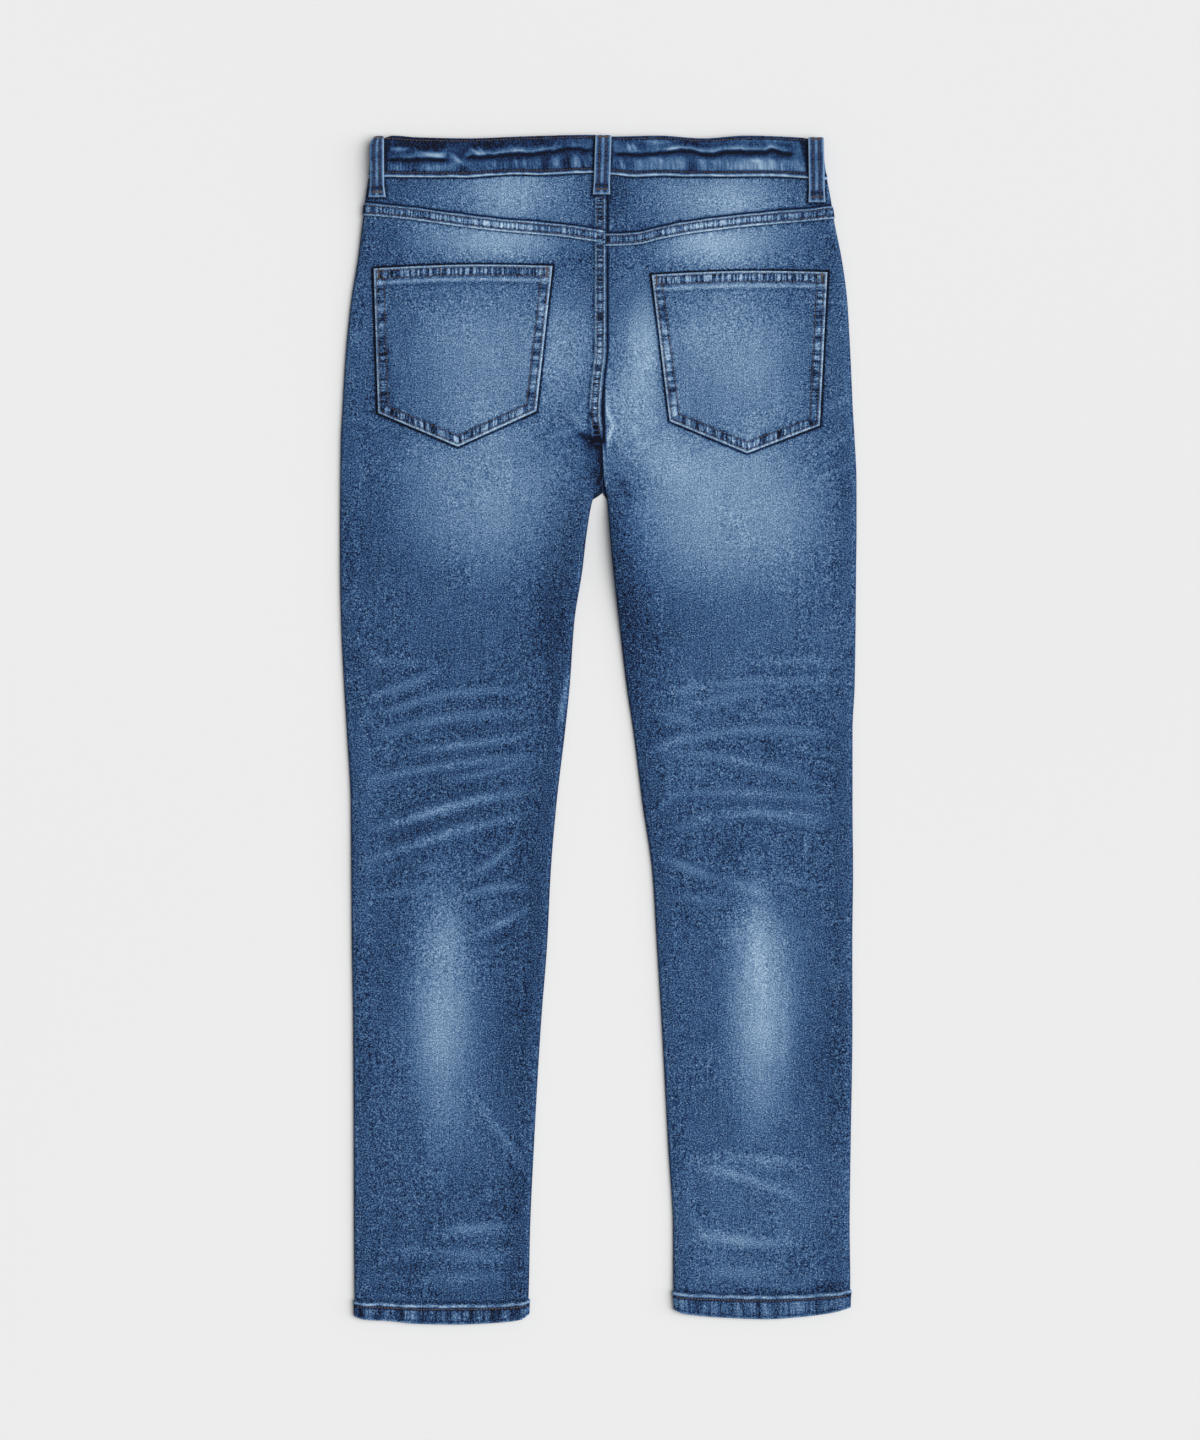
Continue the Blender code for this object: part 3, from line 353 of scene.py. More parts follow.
FADES = (
    # The yoke and the seat under it.
    Fade(-80, 50, 50, 25, 59, 1.2), Fade(-92, 95, 58, 21, 64, 1.2), Fade(-150, 84, 20, 12, 10),
    Fade(-187, 50, 16, 12, -6), Fade(-187, 92, 18, 12, -8), Fade(14, 55, 15, 26, -22),
    Fade(116, 58, 48, 23, 60, 1.3), Fade(62, 50, 18, 24, 16), Fade(106, 98, 50, 21, 70, 1.3),
    Fade(156, 84, 18, 14, 12), Fade(-4, 116, 22, 14, -18), Fade(36, 92, 14, 12, -14),
    Fade(25, 120, 22, 10, -2), Fade(-32, 103, 12, 12, -14), Fade(-30, 62, 12, 18, 8),
    # The pockets and the seat beside the centre seam.
    Fade(-98, 198, 60, 64, 36, 1.6), Fade(-140, 165, 26, 30, 4), Fade(-98, 196, 14, 16, 6),
    Fade(-126, 248, 40, 18, 8), Fade(-28, 186, 25, 46, 34, 1.3), Fade(-30, 240, 18, 22, 10),
    Fade(42, 190, 18, 48, 50, 1.4),
    Fade(18, 236, 22, 42, 30), Fade(44, 258, 26, 34, 32), Fade(116, 192, 56, 58, 34, 1.6),
    Fade(128, 130, 50, 14, 16), Fade(150, 215, 26, 30, 10), Fade(95, 178, 18, 14, 6),
    Fade(108, 267, 16, 9, -14), Fade(160, 267, 12, 8, -8), Fade(141, 260, 8, 12, 8),
    Fade(196, 208, 12, 10, -4), Fade(-205, 100, 22, 26, -6), Fade(205, 120, 20, 30, -6),
    Fade(220, 192, 12, 30, -6),
    Fade(-194, 228, 22, 24, -8), Fade(-150, 292, 30, 16, 8), Fade(166, 250, 26, 20, 8),
    # The thighs and the crotch.
    Fade(-100, 325, 66, 72, 46, 1.6), Fade(-170, 330, 16, 44, 8), Fade(-80, 308, 10, 7, 6),
    Fade(-92, 322, 12, 8, 6),
    Fade(-85, 352, 20, 12, 4), Fade(114, 330, 82, 74, 50, 1.8), Fade(75, 300, 26, 18, 9),
    Fade(172, 400, 30, 34, 10), Fade(160, 335, 22, 14, 4), Fade(110, 338, 24, 10, 4),
    Fade(56, 285, 22, 20, 12),
    # The dark fades at the crotch and along the right leg's inseam below it are painted shade.
    Fade(-4, 300, 8, 14, -26), Fade(-6, 281, 8, 6, -20), Fade(32, 317, 16, 12, -12),
    Fade(20, 350, 15, 32, -8),
    Fade(36, 400, 22, 60, -12), Fade(52, 450, 24, 50, -12), Fade(-42, 430, 20, 56, -14),
    Fade(-30, 345, 22, 34, -4), Fade(-205, 300, 22, 60, -4), Fade(-120, 425, 80, 22, 5),
    # The calves.
    Fade(-140, 782, 29, 106, 58, 1.3), Fade(-124, 880, 22, 24, 6), Fade(-136, 722, 14, 22, 17),
    Fade(-88, 700, 18, 34, 8), Fade(-146, 820, 14, 26, 6), Fade(146, 776, 28, 92, 62, 1.45),
    Fade(143, 722, 9, 34, 20), Fade(121, 714, 15, 16, 12), Fade(146, 876, 18, 26, 8),
    Fade(147, 780, 8, 66, 10), Fade(168, 815, 4, 46, 12), Fade(-160, 640, 20, 34, -6),
    Fade(-76, 800, 16, 100, -8), Fade(208, 830, 18, 60, -12), Fade(206, 560, 14, 60, -6),
    Fade(179, 735, 10, 30, 9), Fade(160, 734, 8, 20, 8), Fade(222, 325, 12, 40, -10),
    Fade(114, 640, 16, 12, -9), Fade(-114, 652, 16, 12, 8),
    Fade(-114, 536, 14, 14, -8), Fade(-208, 600, 15, 60, 16), Fade(-208, 694, 14, 34, 9),
    # The ankles.
    Fade(-112, 985, 22, 6, 20), Fade(-112, 1010, 24, 8, 14), Fade(-120, 1030, 30, 7, 8),
    Fade(-185, 1025, 24, 16, -4), Fade(-78, 955, 14, 28, -6), Fade(-80, 1022, 14, 18, -4),
    Fade(112, 930, 22, 8, 16), Fade(150, 925, 16, 7, 14), Fade(150, 945, 40, 8, 6),
    Fade(120, 992, 38, 8, 22), Fade(130, 1020, 36, 8, 10), Fade(210, 1000, 12, 40, -12),
)


class Ground(NamedTuple):
    """The unfaded tone of each leg at one drop."""

    drop: float
    left: float
    right: float


GROUNDS = (
    Ground(30, 82, 86), Ground(100, 86, 88), Ground(200, 90, 96), Ground(300, 82, 91),
    Ground(400, 75, 88), Ground(500, 76, 86), Ground(640, 72, 80), Ground(800, 76, 82),
    Ground(900, 80, 85), Ground(960, 76, 90), Ground(1040, 75, 84), Ground(1070, 76, 82),
)


def smooth_line(stations: Sequence[float], values: Sequence[float], at: Array) -> Array:
    """Reads a cubic through the stations that never swings past their values.

    Args:
        stations: Where the values are, in rising order.
        values: The value at each station.
        at: Where to read the line.

    Returns:
        The line's value at each place.
    """
    knots = np.asarray(stations, float)
    heights = np.asarray(values, float)
    places = np.clip(np.asarray(at, float), knots[0], knots[-1])
    rates = np.diff(heights) / np.diff(knots)
    pairs = rates[:-1] * rates[1:]
    both = np.where(pairs > 0, rates[:-1] + rates[1:], 1.0)
    turns = np.where(pairs > 0, 2 * pairs / both, 0.0)
    slopes = np.concatenate([rates[:1], turns, rates[-1:]])
    low = np.clip(np.searchsorted(knots, places, side="right") - 1, 0, len(knots) - 2)
    span = knots[low + 1] - knots[low]
    t = (places - knots[low]) / span
    return (
        (1 + 2 * t) * (1 - t) ** 2 * heights[low]
        + t * (1 - t) ** 2 * span * slopes[low]
        + t * t * (3 - 2 * t) * heights[low + 1]
        + t * t * (t - 1) * span * slopes[low + 1]
    )


def read_table(table: Sequence[NamedTuple], key: str, name: str, at: Array) -> Array:
    """Reads one named column of a table along another.

    Args:
        table: The rows.
        key: The column to read along.
        name: The column to read.
        at: Where to read it.

    Returns:
        The column's smooth value at each place.
    """
    return smooth_line([getattr(r, key) for r in table], [getattr(r, name) for r in table], at)


def mark_drop(marks: Sequence[Mark], x: Array) -> Array:
    """Reads the drop of a seam or an edge at this x."""
    return read_table(marks, "x", "drop", x)


def eased(at: Array, start: float, end: float) -> Array:
    """Goes smoothly from 0 at start to 1 at end."""
    t = np.clip((np.asarray(at, float) - start) / (end - start), 0.0, 1.0)
    return t * t * (3 - 2 * t)


def bell(distance: Array, width: float) -> Array:
    """A bell curve that is 1 at no distance."""
    return np.exp(-((np.asarray(distance, float) / width) ** 2))


def crotch_lift(side: Side, drop: Array) -> Array:
    """How far the inseam stands up just below the crotch."""
    return CROTCH_LIFT[side] * bell(drop - 368, 62) * eased(drop, 312.0, 346.0)


def inked(tone: Array, ink: Array, share: Array) -> Array:
    """Takes a tone towards an ink's tone by a share."""
    return tone + (ink - tone) * share


def rubbed(tone: Array) -> Array:
    """The tone of a rubbed edge on denim of this tone."""
    return 0.45 * tone + 116.0


def crisp_line(distance: Array, width: float) -> Array:
    """A crisp line with a flat middle, 1 at no distance."""
    return np.minimum(1.35 * bell(distance, width), 1.0)


def rolled(inset: Array, roll: float) -> Array:
    """The share of its full height that a rolled edge has at this inset."""
    return np.sqrt(1 - (1 - np.clip(inset / roll, 0.0, 1.0)) ** 2)


def worn_edge(distance: Array) -> Array:
    """How far a cut edge is rounded down at this distance from it."""
    return EDGE_ROUND * (1 - rolled(distance, 0.8))


def mottle(across: Array, down: Array, cell: tuple[float, float], seed: int) -> Array:
    """Uneven smooth values between -1 and 1 over an area.

    Args:
        across: Place across the cells.
        down: Place down the cells.
        cell: How far apart the values change, across and down.
        seed: Which pattern.

    Returns:
        The value at each place.
    """
    size = 512
    knots = np.random.default_rng(seed).uniform(-1, 1, (size, size))
    u, v = np.broadcast_arrays(np.asarray(across, float) / cell[0], np.asarray(down, float) / cell[1])
    i, j = np.floor(u).astype(int), np.floor(v).astype(int)
    s, t = u - i, v - j
    s, t = s * s * (3 - 2 * s), t * t * (3 - 2 * t)
    first = knots[i % size, j % size] * (1 - s) + knots[(i + 1) % size, j % size] * s
    second = knots[i % size, (j + 1) % size] * (1 - s) + knots[(i + 1) % size, (j + 1) % size] * s
    return first * (1 - t) + second * t


def ladder(run: Array, aside: Array, seed: int, pitch: float = LADDER_PITCH) -> Array:
    """Uneven bars across a seam, from -1 in a hollow to 1 on a ridge.

    Args:
        run: How far along the seam.
        aside: How far across it.
        seed: Which pattern.
        pitch: How far apart the bars are, on average.

    Returns:
        The bars' value at each place.
    """
    bars = mottle(run + 0.25 * np.asarray(aside), aside, (pitch / 2, 14.0), seed)
    slow = mottle(run, aside, (pitch * 1.7, 9.0), seed + 1)
    return np.tanh(3.0 * bars + 1.1 * slow)


def crease_sum(creases: Sequence[Crease], x: Array, drop: Array, name: str) -> Array:
    """Adds up one column of the creases over an area.

    Args:
        creases: The creases.
        x: Each point's x.
        drop: Each point's drop.
        name: The column to add up, height or tone.

    Returns:
        The sum at each point.
    """
    total = np.zeros(np.broadcast(x, drop).shape)
    for crease in creases:
        along = np.array([crease.end_x - crease.x, crease.end_drop - crease.drop], float)
        length = float(np.hypot(*along))
        along = along / length
        run = (x - crease.x) * along[0] + (drop - crease.drop) * along[1]
        share = np.clip(run / length, 0.0, 1.0)
        aside = (drop - crease.drop) * along[0] - (x - crease.x) * along[1]
        aside = aside - crease.bow * 4 * share * (1 - share)
        distance = np.hypot(aside, run - share * length) / crease.width
        taper = 0.35 + 0.65 * np.sin(math.pi * share)
        worn = name == "tone"
        broad = worn and crease.width > 4
        narrow = 1.0 + 0.3 * worn + 0.25 * broad
        strength = getattr(crease, name) * (1.0 + 0.46 * broad)
        total = total + strength * taper * np.exp(-((distance * narrow) ** 2))
        if broad:
            total = total - 0.30 * crease.tone * taper * np.exp(-((distance * 0.66) ** 2))
    return total


def crevice_share(crevices: Sequence[Crevice], x: Array, drop: Array) -> Array:
    """How far each point is in the dark of a crevice, from 0 to 1."""
    lit = np.ones(np.broadcast(x, drop).shape)
    for crevice in crevices:
        along = np.array([crevice.end_x - crevice.x, crevice.end_drop - crevice.drop])
        length = float(np.hypot(*along))
        along = along / length
        run = (x - crevice.x) * along[0] + (drop - crevice.drop) * along[1]
        beyond = run - np.clip(run, 0.0, length)
        aside = (drop - crevice.drop) * along[0] - (x - crevice.x) * along[1]
        lit = lit * (1 - crevice.depth * crisp_line(np.hypot(aside, beyond), crevice.width))
    return 1 - lit


def fade_sum(fades: Sequence[Fade], x: Array, drop: Array) -> Array:
    """Adds up the fades' tones over an area."""
    total = np.zeros(np.broadcast(x, drop).shape)
    for fade in fades:
        square = ((x - fade.x) / fade.half_x) ** 2 + ((drop - fade.drop) / fade.half_drop) ** 2
        total = total + fade.tone * np.exp(-(square**fade.flatness))
    return total


def place(x: Array, drop: Array, z: Array) -> Array:
    """Points from x, the drop and the height."""
    x, drop, z = np.broadcast_arrays(x, drop, z)
    return np.stack([x, HALF_LENGTH - drop, z], axis=-1)


def face_normals(points: Array, facing: int) -> Array:
    """Unit normals of a grid of points, which face up where facing is 1."""
    normals = np.cross(np.gradient(points, axis=0), np.gradient(points, axis=1))
    normals /= np.linalg.norm(normals, axis=2, keepdims=True)
    return normals * np.sign(normals[..., 2].sum()) * facing


def turn_rim(normals: Array, index: int, share: Array, outward: float) -> None:
    """Turns an edge column's normals level by share, or else upright across.

    Args:
        normals: The grid's normals, which are changed.
        index: The edge column.
        share: 1 on a folded edge and 0 at a seam, for each row.
        outward: The sign of x that points away from the panel.
    """
    level = np.zeros(normals[:, index].shape)
    level[:, 0] = outward
    mixed = normals[:, index] * (0.0, 1.0, 1.0) * (1 - share)[:, None] + level * share[:, None]
    normals[:, index] = mixed / np.linalg.norm(mixed, axis=1, keepdims=True)


def spread(start: float, end: float, step: float) -> Array:
    """Even steps from start to end, without start."""
    count = max(1, round((end - start) / step))
    return start + (end - start) * np.arange(1, count + 1) / count


def strip_area(widths: Array, places: Array) -> float:
    """The area under widths that change evenly from place to place."""
    return abs(float(((widths[1:] + widths[:-1]) / 2 * np.diff(places)).sum()))


class NodeGraph:
    """The shader nodes of one material."""

    def __init__(self, name: str) -> None:
        """Makes a material with only its Principled shader."""
        self.material = bpy.data.materials.new(name)
        self.material.use_nodes = True
        self.nodes = self.material.node_tree.nodes
        self.links = self.material.node_tree.links
        self.shader = self.nodes["Principled BSDF"]
        self.place = self.nodes.new("ShaderNodeTexCoord").outputs["Object"]

    def settle(self, sockets: dict[str, float]) -> None:
        """Sets constants on the shader's own sockets."""
        for name, value in sockets.items():
            self.shader.inputs[name].default_value = value

    def stretched(self, scale: tuple[float, float, float]) -> bpy.types.NodeSocket:
        """The object's coordinates, scaled for each axis."""
        node = self.nodes.new("ShaderNodeMapping")
        node.inputs["Scale"].default_value = scale
        self.links.new(self.place, node.inputs["Vector"])
        return node.outputs["Vector"]

    def noise(self, size: float, stretch: tuple[float, float, float], detail: float) -> bpy.types.NodeSocket:
        """Noise of this size.

        Args:
            size: The size of its patches, in millimetres.
            stretch: How much finer it is along each axis.
            detail: How many finer layers it has.

        Returns:
            Its value socket.
        """
        node = self.nodes.new("ShaderNodeTexNoise")
        node.inputs["Scale"].default_value = 1 / (size * MM)
        node.inputs["Detail"].default_value = detail
        self.links.new(self.stretched(stretch), node.inputs["Vector"])
        return node.outputs["Fac"]

    def twill(self, pitch: float) -> bpy.types.NodeSocket:
        """The slanted ribs of a twill weave, this many millimetres apart along x."""
        node = self.nodes.new("ShaderNodeTexWave")
        node.bands_direction = "DIAGONAL"
        node.inputs["Scale"].default_value = math.tau / (10 * pitch * MM)
        node.inputs["Distortion"].default_value = 1.2
        node.inputs["Detail"].default_value = 1.0
        self.links.new(self.stretched((1.0, 0.8, 0.2)), node.inputs["Vector"])
        return node.outputs["Fac"]

    def sum(self, parts: Sequence[tuple[bpy.types.NodeSocket, float]], base: float) -> bpy.types.NodeSocket:
        """Adds sockets up, each times its own factor, to a base."""
        total: Optional[bpy.types.NodeSocket] = None
        for socket, factor in parts:
            node = self.nodes.new("ShaderNodeMath")
            node.operation = "MULTIPLY_ADD"
            self.links.new(socket, node.inputs[0])
            node.inputs[1].default_value = factor
            node.inputs[2].default_value = base
            if total is not None:
                self.links.new(total, node.inputs[2])
            total = node.outputs[0]
        return total

    def crisp(self, value: bpy.types.NodeSocket, gain: float) -> bpy.types.NodeSocket:
        """Steepens a value about its middle, within 0 and 1."""
        result = self.sum([(value, gain)], 0.5 - gain / 2)
        result.node.use_clamp = True
        return result

    def times(self, first: bpy.types.NodeSocket, second: bpy.types.NodeSocket) -> bpy.types.NodeSocket:
        """Multiplies two values."""
        node = self.nodes.new("ShaderNodeMath")
        node.operation = "MULTIPLY"
        self.links.new(first, node.inputs[0])
        self.links.new(second, node.inputs[1])
        return node.outputs[0]

    def line_at(self, value: bpy.types.NodeSocket, middle: float, half: float) -> bpy.types.NodeSocket:
        """A thin line where the value is at its middle, and 0 a half away from it."""
        away = self.nodes.new("ShaderNodeMath")
        away.operation = "ABSOLUTE"
        self.links.new(self.sum([(value, 1 / half)], -middle / half), away.inputs[0])
        result = self.sum([(away.outputs[0], -1.0)], 1.0)
        result.node.use_clamp = True
        return result

    def ramp(self, share: bpy.types.NodeSocket, stops: Sequence[tuple[float, tuple]]) -> bpy.types.NodeSocket:
        """Colours along a share, from linear colours at their stops."""
        node = self.nodes.new("ShaderNodeValToRGB")
        elements = node.color_ramp.elements
        while len(elements) < len(stops):
            elements.new(0.5)
        for element, (position, colour) in zip(elements, stops):
            element.position = position
            element.color = (*colour, 1.0)
        self.links.new(share, node.inputs["Fac"])
        return node.outputs["Color"]

    def attribute(self, name: str) -> bpy.types.NodeSocket:
        """A value that the mesh holds at its points."""
        node = self.nodes.new("ShaderNodeAttribute")
        node.attribute_name = name
        return node.outputs["Fac"]

    def colour(self, socket: bpy.types.NodeSocket) -> None:
        """Gives the shader its colour."""
        self.links.new(socket, self.shader.inputs["Base Color"])

    def rough(self, share: bpy.types.NodeSocket, low: float, high: float) -> None:
        """Gives the shader a roughness between low and high."""
        value = self.sum([(share, high - low)], low)
        self.links.new(value, self.shader.inputs["Roughness"])

    def relief(self, height: bpy.types.NodeSocket, depth: float, strength: float) -> None:
        """Gives the shader fine relief, of this depth in millimetres."""
        node = self.nodes.new("ShaderNodeBump")
        node.inputs["Distance"].default_value = depth * MM
        node.inputs["Strength"].default_value = strength
        self.links.new(height, node.inputs["Height"])
        self.links.new(node.outputs["Normal"], self.shader.inputs["Normal"])


def linear(red: int, green: int, blue: int) -> tuple[float, float, float]:
    """The linear colour of a screen colour."""
    shares = [value / 255 for value in (red, green, blue)]
    return tuple(s / 12.92 if s <= 0.04045 else ((s + 0.055) / 1.055) ** 2.4 for s in shares)


@dataclass(frozen=True)
class DenimFinish:
    """Washed stretch denim: its indigo scale, its grain, its twill and its puckers."""

    name: str = "washed_denim"
    scale: tuple[tuple[int, int, int], ...] = (
        (8, 14, 28), (20, 36, 70), (26, 50, 90), (36, 66, 106), (49, 81, 121), (62, 96, 137),
        (80, 113, 151), (100, 129, 164), (117, 146, 179), (132, 159, 188), (158, 187, 213),
        (196, 216, 232),
    )
    grain: float = 0.50
    speck: float = 1.02
    warp: float = 0.20
    weft: float = 0.12
    twill: float = 0.05
    calm: float = 0.55
    hush: float = 0.55
    liveliest: float = 1.12
    rib: float = 0.48
    # How dark the painted shadow line just outside the pockets is.
    rim: float = 0.56

    def stops(self) -> list[tuple[float, tuple]]:
        """The scale's colours at the shares of their tones."""
        span = LIGHTEST_TONE - DARKEST_TONE
        return [((max(c[1], DARKEST_TONE) - DARKEST_TONE) / span, linear(*c)) for c in self.scale]

    def make(self) -> bpy.types.Material:
        """Builds the material."""
        graph = NodeGraph(self.name)
        grain = graph.noise(1.45, (1.0, 0.9, 1.0), 1.0)
        speck = graph.noise(1.1, (1.0, 1.0, 1.0), 0.0)
        warp = graph.noise(1.5, (1.0, 0.08, 1.0), 1.0)
        weft = graph.noise(1.5, (0.14, 1.0, 1.0), 1.0)
        twill = graph.twill(1.1)
        # The tone that the mesh holds, painted shade included.
        wash_and_shade = graph.attribute("wash_and_shade")
        parts = [(grain, self.grain), (speck, self.speck), (warp, self.warp), (weft, self.weft)]
        parts.append((twill, self.twill))
        weave = graph.sum(parts, -0.5 * sum(factor for _, factor in parts))
        calmed = [(wash_and_shade, -self.calm), (graph.attribute("smooth"), -self.hush)]
        weave = graph.times(weave, graph.sum(calmed, self.liveliest))
        parts = [(wash_and_shade, 1.0), (weave, 1.0)]
        ribs = (("ribs_across", 1.8, (1.0, 0.05, 0.2)), ("ribs_down", 2.1, (0.05, 1.0, 0.2)))
        for name, size, stretch in ribs:
            strength = graph.attribute(name)
            bars = graph.times(graph.crisp(graph.noise(size, stretch, 1.0), 6.5), strength)
            parts += [(bars, self.rib), (strength, -self.rib / 2)]
        # A painted shadow line just outside the pockets' rims.
        parts.append((graph.line_at(graph.attribute("rim"), RIM_OFFSET - 1.0, 1.8), -self.rim))
        graph.colour(graph.ramp(graph.sum(parts, 0.0), self.stops()))
        graph.rough(grain, 0.80, 0.98)
        graph.relief(graph.sum([(twill, 0.5), (speck, 0.5), (warp, 0.4)], 0.0), 0.16, 0.38)
        graph.settle({"Specular IOR Level": 0.14, "Sheen Weight": 0.04, "Sheen Roughness": 0.5})
        return graph.material


@dataclass(frozen=True)
class ThreadFinish:
    """Twisted topstitching thread, worn lighter in places."""

    name: str
    dark: tuple[int, int, int]
    light: tuple[int, int, int]

    def make(self) -> bpy.types.Material:
        """Builds the material."""
        graph = NodeGraph(self.name)
        wear = graph.noise(5.0, (1.0, 1.0, 1.0), 2.0)
        twist = graph.twill(0.5)
        share = graph.sum([(wear, 1.8), (twist, 0.25)], -0.55)
        graph.colour(graph.ramp(share, [(0.0, linear(*self.dark)), (1.0, linear(*self.light))]))
        graph.rough(wear, 0.55, 0.80)
        graph.relief(twist, 0.06, 0.5)
        graph.settle({"Specular IOR Level": 0.3, "Sheen Weight": 0.05, "Sheen Roughness": 0.5})
        return graph.material


@dataclass(frozen=True)
class BrassFinish:
    """Aged brass, with rubbed lights and darker hollows."""

    name: str = "aged_brass"

    def make(self) -> bpy.types.Material:
        """Builds the material."""
        graph = NodeGraph(self.name)
        age = graph.noise(2.5, (1.0, 1.0, 1.0), 4.0)
        graph.colour(graph.ramp(age, [(0.3, linear(92, 66, 38)), (0.7, linear(178, 142, 92))]))
        graph.rough(age, 0.28, 0.55)
        graph.relief(age, 0.05, 0.4)
        graph.settle({"Metallic": 1.0})
        return graph.material


@dataclass(frozen=True)
class FloorFinish:
    """A plain pale matt floor."""

    name: str = "pale_floor"

    def make(self) -> bpy.types.Material:
        """Builds the material."""
        graph = NodeGraph(self.name)
        cloud = graph.noise(900.0, (1.0, 1.0, 1.0), 1.0)
        graph.colour(graph.ramp(cloud, [(0.2, (0.818, 0.820, 0.824)), (0.8, (0.832, 0.834, 0.838))]))
        graph.settle({"Roughness": 0.9, "Specular IOR Level": 0.1})
        return graph.material


class Wardrobe:
    """The finishes that the pieces share, each made once."""

    def __init__(self) -> None:
        """Makes every finish."""
        self.denim = DenimFinish().make()
        self.rust = ThreadFinish("rust_thread", (46, 40, 40), (118, 96, 80)).make()
        self.gold = ThreadFinish("golden_thread", (62, 53, 42), (142, 120, 90)).make()
        self.brass = BrassFinish().make()


def link_mesh(name: str, points: Array, faces: list, material: bpy.types.Material) -> bpy.types.Object:
    """Makes an object that rides on the garment.

    Args:
        name: The piece's name.
        points: Its points, in millimetres.
        faces: Its faces, as lists of point numbers.
        material: Its finish.

    Returns:
        The object.
    """
    mesh = bpy.data.meshes.new(name)
    mesh.from_pydata((np.asarray(points) * MM).tolist(), [], faces)
    mesh.materials.append(material)
    mesh.shade_smooth()
    mesh.set_sharp_from_angle(angle=math.radians(62))
    piece = bpy.data.objects.new(name, mesh)
    bpy.context.scene.collection.objects.link(piece)
    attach(piece, "root")
    return piece


def cloth_wall(
    name: str, shown: Array, hidden: Array, tone: Array,
    material: bpy.types.Material, inside: Optional[Array] = None,
    marks: Optional[dict[str, Array]] = None,
) -> bpy.types.Object:
    """Makes a closed wall of cloth between two grids of points.

    Args:
        name: The piece's name.
        shown: The grid of its shown side.
        hidden: The grid of its hidden side.
        tone: The shown side's tone at each point.
        material: Its finish.
        inside: The hidden side's tone at each point, where it isn't even.
        marks: How strong the puckers and the rim line are at each shown point.

    Returns:
        The piece.
    """
    rows, columns = shown.shape[:2]
    count = rows * columns
    index = np.arange(count).reshape(rows, columns)
    quads = np.stack([index[:-1, :-1], index[:-1, 1:], index[1:, 1:], index[1:, :-1]], axis=-1)
    quads = quads.reshape(-1, 4)
    rim = np.concatenate([index[0], index[1:, -1], index[-1, -2::-1], index[-2:0:-1, 0]])
    onward = np.roll(rim, -1)
    sides = np.stack([rim, rim + count, onward + count, onward], axis=-1)
    faces = np.concatenate([quads, quads[:, ::-1] + count, sides])
    points = np.concatenate([shown.reshape(-1, 3), hidden.reshape(-1, 3)])
    corners = points[faces]
    volume = sum(
        np.einsum("ij,ij->i", corners[:, 0], np.cross(corners[:, k], corners[:, k + 1])).sum()
        for k in (1, 2)
    )
    if volume < 0:
        faces = faces[:, ::-1]
    piece = link_mesh(name, points, faces.tolist(), material)
    turned = np.full(count, INSIDE_TONE) if inside is None else inside.reshape(-1)
    share = np.concatenate([tone.reshape(-1), turned]) - DARKEST_TONE
    share = np.clip(share / (LIGHTEST_TONE - DARKEST_TONE), 0.0, 1.0)
    values = {"wash_and_shade": share}
    for key, mark in (marks or {}).items():
        values[key] = np.concatenate([np.broadcast_to(mark, (rows, columns)).reshape(-1), np.zeros(count)])
    for key, value in values.items():
        attribute = piece.data.attributes.new(key, "FLOAT", "POINT")
        attribute.data.foreach_set("value", value.astype(np.float32))
    return piece


def declare_cloth(
    node: str, sewing: Sequence
) -> None:
    """Hides the solid that the piece stands for.

    Args:
        node: The solid.
        sewing: The sewing on it; not used.
    """
    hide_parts(node)


